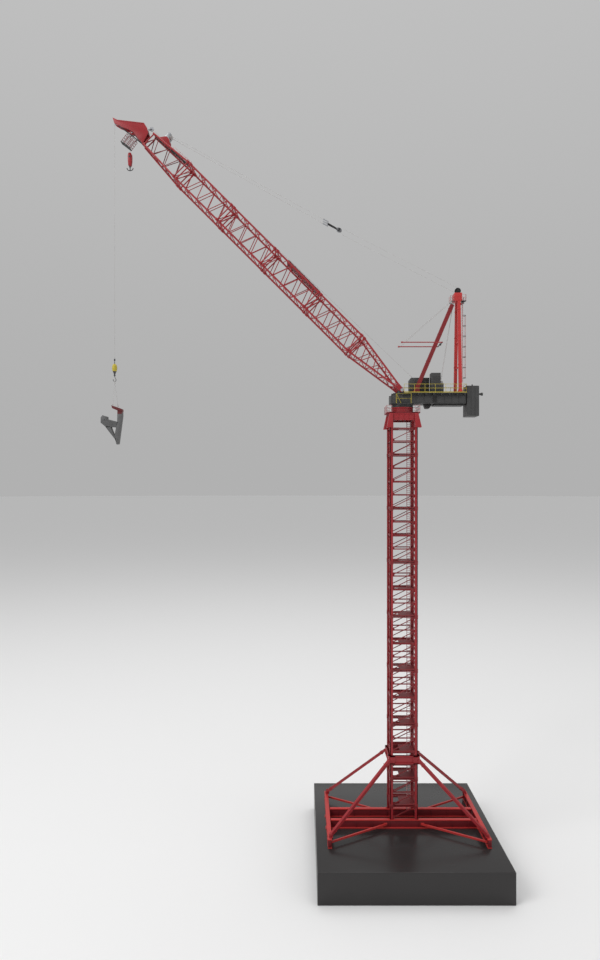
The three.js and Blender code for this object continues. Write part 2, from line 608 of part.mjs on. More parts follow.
function loadSlings() {
  const ring = solid(new THREE.TorusGeometry(3.1, 0.55, 6, 16).rotateY(Math.PI / 2)).translate([LOAD_X - 0.9, 0, RING_Z]);
  const leg = (s, x, z) => rod(V(LOAD_X - 0.9, s * 1.2, RING_Z - 3), V(x, s * 5, z + 0.5), 0.45, 6);
  const foot = (s, x, z) => rod(V(x, s * 5, z), V(x, s * 5, z + 1.6), 1.0, 8);
  return join([ring, leg(1, -493.4, 769.6), leg(-1, -500, 772), foot(1, -493.4, 769.6), foot(-1, -500, 772)]);
}

function loadBracket() {
  const top = plate([[-502.2, 771.8], [-500.9, 766.6], [-492.6, 763], [-484.3, 762], [-484.3, 765.4]], -7, 7);
  const post = plate([[-492.2, 763.6], [-492.7, 743.4], [-494.6, 733], [-497.2, 720], [-494, 704.1], [-490.2, 704.7], [-483.8, 753.6],
    [-484.1, 763.6]], -5, 5);
  const block = plate([[-509.8, 747.9], [-509.8, 752.3], [-518.1, 754.9], [-521.2, 751], [-521.2, 741.5], [-511.1, 733.3], [-500.9, 734.5],
    [-494, 733.4], [-491, 743]], -5, 5);
  const brace = plate([[-513, 735.6], [-511.8, 732.8], [-497.1, 713.8], [-493.4, 706], [-494.6, 714], [-498.6, 721.4], [-504, 735.2]], -5, 5);
  return join([top, post, block, brace]);
}

function mainRope() {
  const r = MAIN.r - 0.45;
  const wrap = along(arc(MAIN_AT, r, 60, 182, 8), ROPE, 8, 6);
  return join([wrap, rod(V(MAIN_X, 0, 1209.6), V(MAIN_X, 0, MAIN_AT.z + 0.2), ROPE, 6)]);
}

function mainBlock() {
  const cheek = plate([[-1.9, 1209], [1.9, 1209], [3.5, 1205], [3.5, 1196], [2.5, 1187], [-2.5, 1187], [-3.5, 1196], [-3.5, 1205]], 1.4, 3.4);
  const core = box(-2.4, 2.4, -1.6, 1.6, 1187, 1196);
  const top = box(-1.6, 1.6, -1.6, 1.6, 1206, 1209.3);
  const axle = pin(0, 1202, 1.4, -3.9, 3.9, 12);
  return join([bothSides(cheek), core, top, axle]).translate([MAIN_X, 0, 0]);
}

function ramshornHook() {
  const shank = rod(V(MAIN_X, 0, 1179), V(MAIN_X, 0, 1186.7), 1.1, STEPS);
  const horn = along([V(-5.4, 0, 1183.4), V(-4.6, 0, 1181), V(-2.8, 0, 1179.3), V(0, 0, 1178.8), V(2.8, 0, 1179.3), V(4.6, 0, 1181),
    V(5.4, 0, 1183.4)], 0.85, 18, 6).translate([MAIN_X, 0, 0]);
  return join([shank, horn]);
}

// ---- luffing tackle: pendants from the jib's pin to the spreader, then the rope falls to the apex; the line sags a little between ----
const BLOCK = new THREE.Vector3(-109.2, 0, 1075.9);
const frameFor = (a, b) => ({ at: a, turn: Math.atan2(a.z - b.z, b.x - a.x) });
const pendantFrame = frameFor(PIN_AT, BLOCK);
const luffFrame = frameFor(BLOCK, APEX);
const REACH = APEX.distanceTo(BLOCK);
const BLOCK_T = BLOCK.distanceTo(PIN_AT);

function luffRope() {
  const r = 4.75;
  const fall = (s) => rod(V(6.4, 0, s * r), V(REACH + 0.3, 0, s * r), ROPE, 6);
  const wrap = along(arc(V(REACH, 0, 0), r, 92, -92, 10), ROPE, 10, 6);
  return join([fall(1), fall(-1), wrap]);
}

function apexSheave() {
  return sheave(REACH, 0, 5.3, 1.5, 1.6, 4.8);
}

function spreader() {
  const t = BLOCK_T;
  const cheek = plate([[t - 23, -1.3], [t - 6, -1.5], [t - 2, -2.6], [t + 5.6, -2.8], [t + 5.6, 2.8], [t - 2, 2.6], [t - 6, 1.5], [t - 23, 1.3]], 2, 3.2);
  const wheel = pin(t, 0, 4.2, -1.3, 1.3);
  const axle = pin(t, 0, 1.5, -4.2, 4.2, 12);
  const spar = box(t - 24, t - 21.4, -12, 12, -1.6, 1.6);
  const arm = (y) => box(t - 32, t - 22, y - 0.8, y + 0.8, -1.4, 1.4);
  return join([bothSides(cheek), wheel, axle, spar, arm(-10.4), arm(0), arm(10.4)]);
}

function pendants() {
  const sleeve = pin(0, 0, 3.4, -6.4, 6.4).subtract(pin(0, 0, bore(1.5), -8, 8));
  const line = (y) => rod(V(2.6, y, 0), V(BLOCK_T - 32.3, y * 10.4 / 5, 0), ROPE, 6);
  return join([sleeve, line(5), line(-5)]);
}

function hoistRope() {
  const from = LEAD_AT;
  const to = V(DRUM.x + 5.6, 15, DRUM.z + 5.8);
  const dir = to.clone().sub(from).normalize();
  return rod(from.clone().addScaledVector(dir, 6), to.clone().addScaledVector(dir, -0.5), 0.4, 6);
}

function leadSheave() {
  const at = LEAD_AT;
  const wheel = pin(at.x, at.z, 3.6, 3.4, 5.2, 16);
  const post = bar(V(at.x, 4.3, at.z), fromJib(631, 12.6).setY(4.3), 1.6);
  return join([wheel, post]);
}

// ---- assembly ----
add('plinth', plinth(), BLACK);
add('front_cross_beam', crossBeam(-1), RED);
add('back_cross_beam', crossBeam(1), RED);
add('left_sill_beam', sill(-1), RED);
add('right_sill_beam', sill(1), RED);
add('strut_front_left', rakingStrut(-1, -1), RED);
add('strut_front_right', rakingStrut(1, -1), RED);
add('strut_back_left', rakingStrut(-1, 1), RED);
add('strut_back_right', rakingStrut(1, 1), RED);
add('strut_collar', strutCollar(), RED);
for (let n = 0; n < 7; n += 1) {
  const high = FIRST_JOINT + SECTION * n;
  const low = n === 0 ? FOOT_Z : high - SECTION;
  const joints = n === 0 ? [88, 134] : [high - SECTION / 2];
  add(`tower_section_${n + 1}`, towerSection(low, high, joints), RED);
}
add('tower_ladder', ladder(13, 12, FOOT_Z + 1, 744, 23), PALE);
add('tower_head', towerHead(), RED);
add('head_walkway', headWalkway(), PALE);
add('slew_ring', slewRing(), RED);

add('turntable', turntable(), GREY);
add('deck_frame', deckFrame(), GREY);
add('deck_cage', deckCage(), YELLOW);
add('counterweight', counterweight(), GREY);
add('winch_house', winchHouse(), GREY);
add('hoist_drum', hoistDrum(), STEEL);
add('power_pack', powerPack(), GREY);
add('deck_handrail', deckHandrail(), YELLOW);
add('aframe_back_legs', aframeBackLegs(), BRIGHT);
add('aframe_front_strut', aframeFrontStrut(), RED);
add('aframe_head', aframeHead(), BRIGHT);
add('aframe_ladder', aframeLadder(), PALE);
add('jib_buffer_rods', bufferRods(), RED);

add('jib_foot_pin', jibFootPin(), STEEL);
add('jib_foot_section', jibFoot(), RED, jibFrame);
for (let n = 0; n < 4; n += 1) add(`jib_section_${n + 1}`, jibSection(n), RED, jibFrame);
add('jib_top_section', jibTop(), RED, jibFrame);
add('jib_head', jibHead(), RED, jibFrame);
add('head_basket', headBasket(), BLACK, jibFrame);
add('tip_sheave', sheave(-TIP.s, TIP.v, TIP.r, 1.3, 1.2, 4.6), STEEL, jibFrame);
add('main_sheave', sheave(-MAIN.s, MAIN.v, MAIN.r, 1.4, 1.2, 4.4), STEEL, jibFrame);
add('lead_sheave', leadSheave(), STEEL);
add('hoist_rope', hoistRope(), STEEL);

add('whip_lead', whipLead(), STEEL);
add('whip_rope', whipRope(), STEEL);
add('hook_ball', hookBall(), YELLOW);
add('whip_hook', whipHook(), STEEL);
add('load_slings', loadSlings(), STEEL);
add('load_bracket', loadBracket(), GREY);
add('main_rope', mainRope(), STEEL);
add('main_block', mainBlock(), RED);
add('ramshorn_hook', ramshornHook(), STEEL);
add('luff_rope', luffRope(), STEEL, luffFrame);
add('apex_sheave', apexSheave(), BLACK, luffFrame);
add('spreader', spreader(), GREY, pendantFrame);
add('pendants', pendants(), STEEL, pendantFrame);

export default crane;
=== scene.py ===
# Tower crane display model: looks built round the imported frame. Lengths are in millimetres until a piece is finished.
import bpy
import bmesh
import math
from mathutils import Matrix, Vector


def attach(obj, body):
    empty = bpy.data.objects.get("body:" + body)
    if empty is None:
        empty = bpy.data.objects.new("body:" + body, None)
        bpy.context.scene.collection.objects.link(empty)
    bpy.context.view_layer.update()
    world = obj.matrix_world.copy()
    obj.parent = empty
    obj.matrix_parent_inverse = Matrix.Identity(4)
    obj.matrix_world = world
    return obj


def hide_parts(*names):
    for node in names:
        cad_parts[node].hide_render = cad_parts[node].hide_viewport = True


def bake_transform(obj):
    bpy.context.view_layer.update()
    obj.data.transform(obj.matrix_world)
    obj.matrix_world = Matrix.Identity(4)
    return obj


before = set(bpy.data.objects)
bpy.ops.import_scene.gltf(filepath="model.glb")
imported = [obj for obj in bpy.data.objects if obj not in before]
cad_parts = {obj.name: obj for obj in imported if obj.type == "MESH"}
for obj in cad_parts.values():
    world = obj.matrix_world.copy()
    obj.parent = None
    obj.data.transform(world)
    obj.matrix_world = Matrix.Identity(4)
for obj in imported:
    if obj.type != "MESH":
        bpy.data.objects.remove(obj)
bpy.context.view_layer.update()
millimetre = 0.001

# camera, level and square to the crane's side
cameraSetup = {"place": (-0.1725, -1.2479, 0.6351), "lens": 27.0, "sensor": 36.0, "shiftX": -0.0026,
               "shiftY": 0.0046}


def setUpCamera():
    data = bpy.data.cameras.new("studioCamera")
    data.lens = cameraSetup["lens"]
    data.sensor_width = cameraSetup["sensor"]
    data.sensor_fit = "AUTO"
    data.shift_x = cameraSetup["shiftX"]
    data.shift_y = cameraSetup["shiftY"]
    data.clip_end = 60
    camera = bpy.data.objects.new("studioCamera", data)
    camera.location = cameraSetup["place"]
    camera.rotation_euler = (math.radians(90), 0, 0)
    bpy.context.scene.collection.objects.link(camera)
    bpy.context.scene.camera = camera


setUpCamera()
print("camera ready")

# finishes; the lighter and darker reds are copies of the craneRed paint that stand in for painted highlight and painted
# shade
finishes = {
    "craneRed": {"colour": (0.315, 0.013, 0.019), "rough": 0.42, "mottle": 0.10, "bump": 0.05, "grain": 900},
    # a lighter copy of the red paint: painted highlight
    "brightRed": {"colour": (0.50, 0.032, 0.030), "rough": 0.40, "mottle": 0.08, "bump": 0.05, "grain": 900},
    # a darker copy of the red paint: painted shade
    "paintedShadeRed": {"colour": (0.17, 0.010, 0.015), "rough": 0.46, "mottle": 0.12, "bump": 0.06, "grain": 900},
    # a darker copy of the red paint: painted shade on the tower lacing and the front strut
    "towerRed": {"colour": (0.22, 0.012, 0.016), "rough": 0.44, "mottle": 0.12, "bump": 0.06, "grain": 900},
    # the darkest copy of the red paint: painted shade inside the jib head; also used on the load and on the walkway
    # plate of the second jib section
    "deepRedAndPaintedShade": {"colour": (0.115, 0.012, 0.014), "rough": 0.50, "mottle": 0.12, "bump": 0.06, "grain": 900},
    "deckGrey": {"colour": (0.050, 0.050, 0.050), "rough": 0.52, "mottle": 0.12, "bump": 0.08, "grain": 1100},
    "loadGrey": {"colour": (0.105, 0.105, 0.106), "rough": 0.50, "mottle": 0.12, "bump": 0.08, "grain": 1100},
    "blackPaint": {"colour": (0.012, 0.011, 0.011), "rough": 0.48, "mottle": 0.10, "bump": 0.05,
                   "grain": 900},
    "railYellow": {"colour": (0.50, 0.40, 0.035), "rough": 0.45, "mottle": 0.10, "bump": 0.04, "grain": 900},
    "paleRail": {"colour": (0.56, 0.30, 0.30), "rough": 0.45, "mottle": 0.10, "bump": 0.04, "grain": 900},
}


def nodeTools(material):
    material.use_nodes = True
    tree = material.node_tree
    tree.nodes.clear()
    return tree, tree.nodes, tree.links


def addNode(nodes, kind, **values):
    node = nodes.new(kind)
    for key, value in values.items():
        if hasattr(node, key):
            setattr(node, key, value)
        else:
            node.inputs[key].default_value = value
    return node


def paint(name):
    # sprayed paint: faint mottling, uneven gloss and a fine orange-peel surface
    setup = finishes[name]
    material = bpy.data.materials.new(name)
    tree, nodes, links = nodeTools(material)
    out = addNode(nodes, "ShaderNodeOutputMaterial")
    shader = addNode(nodes, "ShaderNodeBsdfPrincipled")
    place = addNode(nodes, "ShaderNodeTexCoord")
    cloud = addNode(nodes, "ShaderNodeTexNoise", Scale=38.0, Detail=5.0, Roughness=0.6)
    peel = addNode(nodes, "ShaderNodeTexNoise", Scale=float(setup["grain"]), Detail=2.0)
    blotch = addNode(nodes, "ShaderNodeTexNoise", Scale=160.0, Detail=4.0, Roughness=0.7)
    for node in (cloud, peel, blotch):
        links.new(place.outputs["Object"], node.inputs["Vector"])
    colour = Vector(setup["colour"])
    tone = addNode(nodes, "ShaderNodeValToRGB")
    tone.color_ramp.elements[0].position = 0.30
    tone.color_ramp.elements[1].position = 0.72
    tone.color_ramp.elements[0].color = (*(colour * (1 - setup["mottle"])), 1)
    tone.color_ramp.elements[1].color = (*(colour * (1 + setup["mottle"])), 1)
    links.new(cloud.outputs["Fac"], tone.inputs["Fac"])
    links.new(tone.outputs["Color"], shader.inputs["Base Color"])
    gloss = addNode(nodes, "ShaderNodeMapRange")
    gloss.inputs["To Min"].default_value = setup["rough"] - 0.07
    gloss.inputs["To Max"].default_value = setup["rough"] + 0.09
    links.new(blotch.outputs["Fac"], gloss.inputs["Value"])
    links.new(gloss.outputs["Result"], shader.inputs["Roughness"])
    bump = addNode(nodes, "ShaderNodeBump", Strength=setup["bump"], Distance=0.0002)
    links.new(peel.outputs["Fac"], bump.inputs["Height"])
    links.new(bump.outputs["Normal"], shader.inputs["Normal"])
    links.new(shader.outputs["BSDF"], out.inputs["Surface"])
    return material


plinthFinish = {"colour": (0.026, 0.024, 0.024), "rough": 0.25, "speck": 1500}


def plinthBlack():
    # satin black board: fine speckle and a soft sheen
    material = bpy.data.materials.new("plinthBlack")
    tree, nodes, links = nodeTools(material)
    out = addNode(nodes, "ShaderNodeOutputMaterial")
    shader = addNode(nodes, "ShaderNodeBsdfPrincipled")
    shader.inputs["Specular IOR Level"].default_value = 0.4
    place = addNode(nodes, "ShaderNodeTexCoord")
    speck = addNode(nodes, "ShaderNodeTexNoise", Scale=float(plinthFinish["speck"]), Detail=3.0)
    haze = addNode(nodes, "ShaderNodeTexNoise", Scale=7.0, Detail=4.0)
    links.new(place.outputs["Object"], speck.inputs["Vector"])
    links.new(place.outputs["Object"], haze.inputs["Vector"])
    colour = Vector(plinthFinish["colour"])
    tone = addNode(nodes, "ShaderNodeValToRGB")
    tone.color_ramp.elements[0].color = (*(colour * 0.86), 1)
    tone.color_ramp.elements[1].color = (*(colour * 1.14), 1)
    links.new(haze.outputs["Fac"], tone.inputs["Fac"])
    links.new(tone.outputs["Color"], shader.inputs["Base Color"])
    gloss = addNode(nodes, "ShaderNodeMapRange")
    gloss.inputs["To Min"].default_value = plinthFinish["rough"] - 0.08
    gloss.inputs["To Max"].default_value = plinthFinish["rough"] + 0.08
    links.new(haze.outputs["Fac"], gloss.inputs["Value"])
    links.new(gloss.outputs["Result"], shader.inputs["Roughness"])
    bump = addNode(nodes, "ShaderNodeBump", Strength=0.05, Distance=0.0002)
    links.new(speck.outputs["Fac"], bump.inputs["Height"])
    links.new(bump.outputs["Normal"], shader.inputs["Normal"])
    links.new(shader.outputs["BSDF"], out.inputs["Surface"])
    return material


metalFinish = {
    "turnedSteel": {"colour": (0.42, 0.43, 0.45), "rough": 0.34, "scale": (1400, 1400, 260)},
    "wireRope": {"colour": (0.50, 0.49, 0.48), "rough": 0.5, "scale": (2600, 2600, 2600)},
    "darkSteel": {"colour": (0.07, 0.07, 0.075), "rough": 0.40, "scale": (1400, 1400, 260)},
}


def bareMetal(name):
    setup = metalFinish[name]
    material = bpy.data.materials.new(name)
    tree, nodes, links = nodeTools(material)
    out = addNode(nodes, "ShaderNodeOutputMaterial")
    shader = addNode(nodes, "ShaderNodeBsdfPrincipled")
    shader.inputs["Metallic"].default_value = 0.6
    place = addNode(nodes, "ShaderNodeTexCoord")
    spread = addNode(nodes, "ShaderNodeMapping")
    spread.inputs["Scale"].default_value = setup["scale"]
    streak = addNode(nodes, "ShaderNodeTexNoise", Scale=1.0, Detail=3.0)
    links.new(place.outputs["Object"], spread.inputs["Vector"])
    links.new(spread.outputs["Vector"], streak.inputs["Vector"])
    colour = Vector(setup["colour"])
    tone = addNode(nodes, "ShaderNodeValToRGB")
    tone.color_ramp.elements[0].color = (*(colour * 0.8), 1)
    tone.color_ramp.elements[1].color = (*(colour * 1.2), 1)
    links.new(streak.outputs["Fac"], tone.inputs["Fac"])
    links.new(tone.outputs["Color"], shader.inputs["Base Color"])
    gloss = addNode(nodes, "ShaderNodeMapRange")
    gloss.inputs["To Min"].default_value = setup["rough"] - 0.08
    gloss.inputs["To Max"].default_value = setup["rough"] + 0.12
    links.new(streak.outputs["Fac"], gloss.inputs["Value"])
    links.new(gloss.outputs["Result"], shader.inputs["Roughness"])
    bump = addNode(nodes, "ShaderNodeBump", Strength=0.15, Distance=0.0001)
    links.new(streak.outputs["Fac"], bump.inputs["Height"])
    links.new(bump.outputs["Normal"], shader.inputs["Normal"])
    links.new(shader.outputs["BSDF"], out.inputs["Surface"])
    return material


paints = {name: paint(name) for name in finishes}
paints.update({name: bareMetal(name) for name in metalFinish})
paints["plinthBlack"] = plinthBlack()
print("finishes ready")


# shaping
def addBlock(bm, low, high, soft=0.0):
    low, high = Vector(low), Vector(high)
    size = high - low
    place = Matrix.Translation((low + high) / 2) @ Matrix.Diagonal((*size, 1))
    verts = bmesh.ops.create_cube(bm, size=1, matrix=place)["verts"]
    return softened(bm, verts, soft) if soft else verts


def softened(bm, verts, width):
    edges = list({e for v in verts for e in v.link_edges})
    return bmesh.ops.bevel(bm, geom=edges, offset=width, segments=2, profile=0.5, affect="EDGES",
                           material=-1)["verts"]


def addBar(bm, a, b, wide, deep=None, over=(0, 0, 1)):
    a, b = Vector(a), Vector(b)
    ahead = (b - a).normalized()
    side = Vector(over).cross(ahead)
    if side.length < 1e-3:
        side = Vector((0, 1, 0)).cross(ahead)
    side.normalize()
    turn = Matrix((side, ahead.cross(side), ahead)).transposed().to_4x4()
    size = Matrix.Diagonal((wide, deep or wide, (b - a).length, 1))
    return bmesh.ops.create_cube(bm, size=1, matrix=Matrix.Translation((a + b) / 2) @ turn @ size)["verts"]


def addTube(bm, a, b, radius, sides=8, farRadius=None):
    a, b = Vector(a), Vector(b)
    turn = (b - a).to_track_quat("Z", "Y").to_matrix().to_4x4()
    far = radius if farRadius is None else farRadius
    return bmesh.ops.create_cone(bm, cap_ends=True, cap_tris=False, segments=sides, radius1=radius,
                                 radius2=far,
                                 depth=(b - a).length, matrix=Matrix.Translation((a + b) / 2) @ turn)["verts"]


def addPlate(bm, outline, near, far, soft=0.0):
    # outline in the x-z plane, thickened along y
    verts = [bm.verts.new((x, near, z)) for x, z in outline]
    face = bm.faces.new(verts)
    made = bmesh.ops.extrude_face_region(bm, geom=[face])["geom"]
    raised = [g for g in made if isinstance(g, bmesh.types.BMVert)]
    bmesh.ops.translate(bm, verts=raised, vec=(0, far - near, 0))
    return softened(bm, verts + raised, soft) if soft else verts + raised


def addSpun(bm, profile, centre, axis="Z", steps=24):
    # profile is (radius, height) pairs, first and last on the axis
    verts = [bm.verts.new((r, 0, h)) for r, h in profile]
    edges = [bm.edges.new(pair) for pair in zip(verts, verts[1:])]
    bmesh.ops.spin(bm, geom=verts + edges, cent=(0, 0, 0), axis=(0, 0, 1), angle=math.tau, steps=steps,
                          use_merge=True)
    bmesh.ops.remove_doubles(bm, verts=gather(verts), dist=1e-4)
    whole = gather(verts)
    turn = {"Z": Matrix.Identity(4), "Y": Matrix.Rotation(math.radians(-90), 4, "X"),
            "X": Matrix.Rotation(math.radians(90), 4, "Y")}[axis]
    bmesh.ops.transform(bm, matrix=Matrix.Translation(centre) @ turn, verts=whole)
    return whole


def gather(seed):
    # every vertex joined to the seed by edges
    found, queue = set(), [v for v in seed if v.is_valid]
    while queue:
        vert = queue.pop()
        if vert in found:
            continue
        found.add(vert)
        queue += [e.other_vert(vert) for e in vert.link_edges]
    return list(found)


def addRope(bm, points, radius, sides=6):
    # a round section carried along the points, joined ring to ring
    points = [Vector(p) for p in points]
    rings = []
    for n, point in enumerate(points):
        ahead = (points[min(n + 1, len(points) - 1)] - points[max(n - 1, 0)]).normalized()
        side = Vector((0, 1, 0)).cross(ahead)
        if side.length < 1e-3:
            side = Vector((1, 0, 0)).cross(ahead)
        side.normalize()
        turn = Matrix((side, ahead.cross(side), ahead)).transposed().to_4x4()
        ring = bmesh.ops.create_circle(bm, cap_ends=False, segments=sides, radius=radius,
                                       matrix=Matrix.Translation(point) @ turn)["verts"]
        rings.append(ring)
    for a, b in zip(rings, rings[1:]):
        edges = {e for ring in (a, b) for v in ring for e in v.link_edges if e.other_vert(v) in ring}
        bmesh.ops.bridge_loops(bm, edges=list(edges))
    for ring in (rings[0], rings[-1]):
        bm.faces.new(ring)
    return [v for ring in rings for v in ring]


def bow(centre, radius, start, stop, count, y=0.0):
    turns = [math.radians(start + (stop - start) * n / count) for n in range(count + 1)]
    return [(centre[0] + radius * math.cos(a), y, centre[1] + radius * math.sin(a)) for a in turns]


def straight(a, b, count):
    a, b = Vector(a), Vector(b)
    return [a.lerp(b, n / count) for n in range(count + 1)]


def mirrored(bm, build):
    # build(bm) makes one side; the other is its mirror in y
    before = set(bm.verts)
    build(bm)
    made = [v for v in bm.verts if v not in before]
    faces = list({f for v in made for f in v.link_faces})
    copy = bmesh.ops.duplicate(bm, geom=made + faces)["geom"]
    twins = [g for g in copy if isinstance(g, bmesh.types.BMVert)]
    bmesh.ops.scale(bm, vec=(1, -1, 1), verts=twins)
    bmesh.ops.reverse_faces(bm, faces=[g for g in copy if isinstance(g, bmesh.types.BMFace)])


def finishPiece(name, bm, materials, body, nodes=(), place=None, soft=0.0, smooth=35):
    if place is not None:
        bmesh.ops.transform(bm, matrix=place, verts=bm.verts)
    bmesh.ops.scale(bm, vec=(millimetre, millimetre, millimetre), verts=bm.verts)
    bmesh.ops.recalc_face_normals(bm, faces=bm.faces)
    mesh = bpy.data.meshes.new(name)
    bm.to_mesh(mesh)
    bm.free()
    piece = bpy.data.objects.new(name, mesh)
    bpy.context.scene.collection.objects.link(piece)
    for finish in ([materials] if isinstance(materials, str) else materials):
        mesh.materials.append(paints[finish])
    for polygon in mesh.polygons:
        polygon.use_smooth = True
    mesh.set_sharp_from_angle(angle=math.radians(smooth))
    if soft:
        bevel = piece.modifiers.new("softEdges", "BEVEL")
        bevel.width = soft * millimetre
        bevel.segments = 2
        bevel.limit_method = "ANGLE"
        bevel.angle_limit = math.radians(40)
        bevel.use_clamp_overlap = True
    if body:
        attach(piece, body)
    if nodes:
        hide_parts(*nodes)
    return piece


def tint(bm, verts, index):
    for face in {f for v in verts if v.is_valid for f in v.link_faces}:
        face.material_index = index


# studio
studio = {"floorSize": 40.0, "floorTone": 0.88, "wallLow": 0.44, "wallHigh": 0.58, "keyPower": 44.0,
          "fillPower": 8.0, "topPower": 30.0}


def setUpStudio():
    bm = bmesh.new()
    bmesh.ops.create_circle(bm, cap_ends=True, segments=96, radius=studio["floorSize"])
    mesh = bpy.data.meshes.new("studioFloor")
    bm.to_mesh(mesh)
    bm.free()
    floor = bpy.data.objects.new("studioFloor", mesh)
    bpy.context.scene.collection.objects.link(floor)
    material = bpy.data.materials.new("floorPaper")
    tree, nodes, links = nodeTools(material)
    out = addNode(nodes, "ShaderNodeOutputMaterial")
    paper = addNode(nodes, "ShaderNodeBsdfDiffuse")
    paper.inputs["Color"].default_value = (*[studio["floorTone"]] * 3, 1)
    links.new(paper.outputs["BSDF"], out.inputs["Surface"])
    floor.data.materials.append(material)

    world = bpy.data.worlds.new("studioWall")
    bpy.context.scene.world = world
    world.use_nodes = True
    tree = world.node_tree
    tree.nodes.clear()
    nodes, links = tree.nodes, tree.links
    out = addNode(nodes, "ShaderNodeOutputWorld")
    wall = addNode(nodes, "ShaderNodeBackground")
    look = addNode(nodes, "ShaderNodeTexCoord")
    axes = addNode(nodes, "ShaderNodeSeparateXYZ")
    links.new(look.outputs["Generated"], axes.inputs["Vector"])

    # the wall only brightens a little with height
    rise = addNode(nodes, "ShaderNodeMapRange")
    rise.inputs["To Min"].default_value = studio["wallLow"]
    rise.inputs["To Max"].default_value = studio["wallHigh"]
    rise.interpolation_type = "SMOOTHSTEP"
    links.new(axes.outputs["Z"], rise.inputs["Value"])
    links.new(rise.outputs["Result"], wall.inputs["Color"])
    links.new(wall.outputs["Background"], out.inputs["Surface"])

    lights = {
        "keyPanel": {"at": (-2.2, -1.6, 2.6), "aim": (-0.05, 0, 0.6), "size": 1.8,
                     "power": studio["keyPower"]},
        "fillPanel": {"at": (2.4, -2.2, 1.4), "aim": (0, 0, 0.6), "size": 2.2, "power": studio["fillPower"]},
        "topPanel": {"at": (0.2, 0.6, 3.4), "aim": (0, 0, 0.3), "size": 2.4, "power": studio["topPower"]},
    }
    for name, setup in lights.items():
        data = bpy.data.lights.new(name, "AREA")
        data.size = setup["size"]
        data.energy = setup["power"]
        lamp = bpy.data.objects.new(name, data)
        lamp.location = setup["at"]
        lamp.rotation_euler = (Vector(setup["aim"]) - Vector(setup["at"])).to_track_quat("-Z", "Y").to_euler()
        bpy.context.scene.collection.objects.link(lamp)
    bpy.context.scene.view_settings.view_transform = "Standard"
    bpy.context.scene.view_settings.look = "None"


setUpStudio()
print("studio ready")

# plinth and ground frame
plinth = {"x": 150, "y": 163, "top": 50, "edge": 0.9}
beams = {"y": 21, "sill": 128.5, "sillEnd": 92, "low": 50, "tall": 15, "flange": 6.6, "web": 3.4,
         "plate": 2.0}
struts = {"foot": (126.5, 83, 68), "head": (24.5, 25.5, 167), "size": 4.8}


def makePlinth():
    bm = bmesh.new()
    addBlock(bm, (-plinth["x"], -plinth["y"], 0), (plinth["x"], plinth["y"], plinth["top"]), plinth["edge"])
    finishPiece("plinthBlock", bm, "plinthBlack", "base", ["plinth"], smooth=50)


def addIBeam(bm, half, alongY, at, ribs):
    # bottom plate, web, top plate and cross ribs
    low, tall, flange, web, plate = (beams[k] for k in ("low", "tall", "flange", "web", "plate"))

    def part(a, b, wide, z0, z1):
        if alongY:
            made = addBlock(bm, (at - wide / 2, a, z0), (at + wide / 2, b, z1), 0.18)
        else:
            made = addBlock(bm, (a, at - wide / 2, z0), (b, at + wide / 2, z1), 0.18)
        # the web and ribs between the plates get the darker red: painted shade in the recess
        if z0 > low and z1 < low + tall:
            tint(bm, made, 1)

    part(-half, half, flange, low, low + plate)
    part(-half, half, flange, low + tall - plate, low + tall)
    part(-half, half, web, low + plate, low + tall - plate)
    for rib in ribs:
        part(rib - 0.5, rib + 0.5, flange - 0.8, low + plate, low + tall - plate)


def makeCrossBeams():
    for side, node in ((-1, "front_cross_beam"), (1, "back_cross_beam")):
        bm = bmesh.new()
        y = side * beams["y"]
        addIBeam(bm, 124.2, False, y, [-110, -82, -54, -24, 24, 54, 82, 110])
        for turn in (-1, 1):
            addBar(bm, (turn * 30, side * 24, 57.5), (turn * 126.6, side * 84.9, 57.5), 2.7, 2.9)
            addBlock(bm, (turn * 31.5 - 3, y + side * 2.4 - 0.8, 55.4),
                     (turn * 31.5 + 3, y + side * 2.4 + 0.8, 59.6), 0.2)
            for step in (-4, 4):
                addTube(bm, (turn * 21 + step, y, 65), (turn * 21 + step, y, 66.2), 1.0, 6)
        # flanges in the lighter red as painted highlight, web in the darker red as painted shade
        finishPiece(node.replace("_", ""), bm, ["brightRed", "paintedShadeRed"], "base", [node])


def makeSills():
    for side, node in ((-1, "left_sill_beam"), (1, "right_sill_beam")):
        bm = bmesh.new()
        addIBeam(bm, beams["sillEnd"], True, side * beams["sill"],
                 [-91.4, -76, -56, -36, -12, 12, 36, 56, 76, 91.4])
        for y in (-21, 21):
            addBlock(bm, (side * 128.5 - 4.6, y - 5.2, 49.9), (side * 128.5 + 4.6, y + 5.2, 51.1), 0.2)
        # flanges in the lighter red as painted highlight, web in the darker red as painted shade
        finishPiece(node.replace("_", ""), bm, ["brightRed", "paintedShadeRed"], "base", [node])


def makeStruts():
    for sx, first in ((-1, "left"), (1, "right")):
        for sy, second in ((-1, "front"), (1, "back")):
            bm = bmesh.new()
            foot = Vector([c * s for c, s in zip(struts["foot"], (sx, sy, 1))])
            head = Vector([c * s for c, s in zip(struts["head"], (sx, sy, 1))])
            ahead = (head - foot).normalized()
            addBar(bm, foot, head, struts["size"], struts["size"])
            addBar(bm, foot + ahead * 9, foot + ahead * 10.4, struts["size"] + 1.4, struts["size"] + 1.4)
            addBar(bm, head - ahead * 12, head - ahead * 10.6, struts["size"] + 1.4, struts["size"] + 1.4)
            x, y = foot.x, foot.y
            addBlock(bm, (x - 3.3, y - 5, 65), (x + 3.3, y + 5, 66.2), 0.25)
            for gap in (-3.1, 3.1):
                addPlate(bm, [(x - 3.2, 66), (x + 3.2, 66), (x + 2, 71), (x - 2, 71)], y + gap - 0.5,
                         y + gap + 0.5, 0.15)
            addTube(bm, (x, y - 4.2, 69), (x, y + 4.2, 69), 1.0, 12)
            finishPiece("strut" + second.title() + first.title(), bm, "craneRed", "base",
                        [f"strut_{second}_{first}"], soft=0.25)


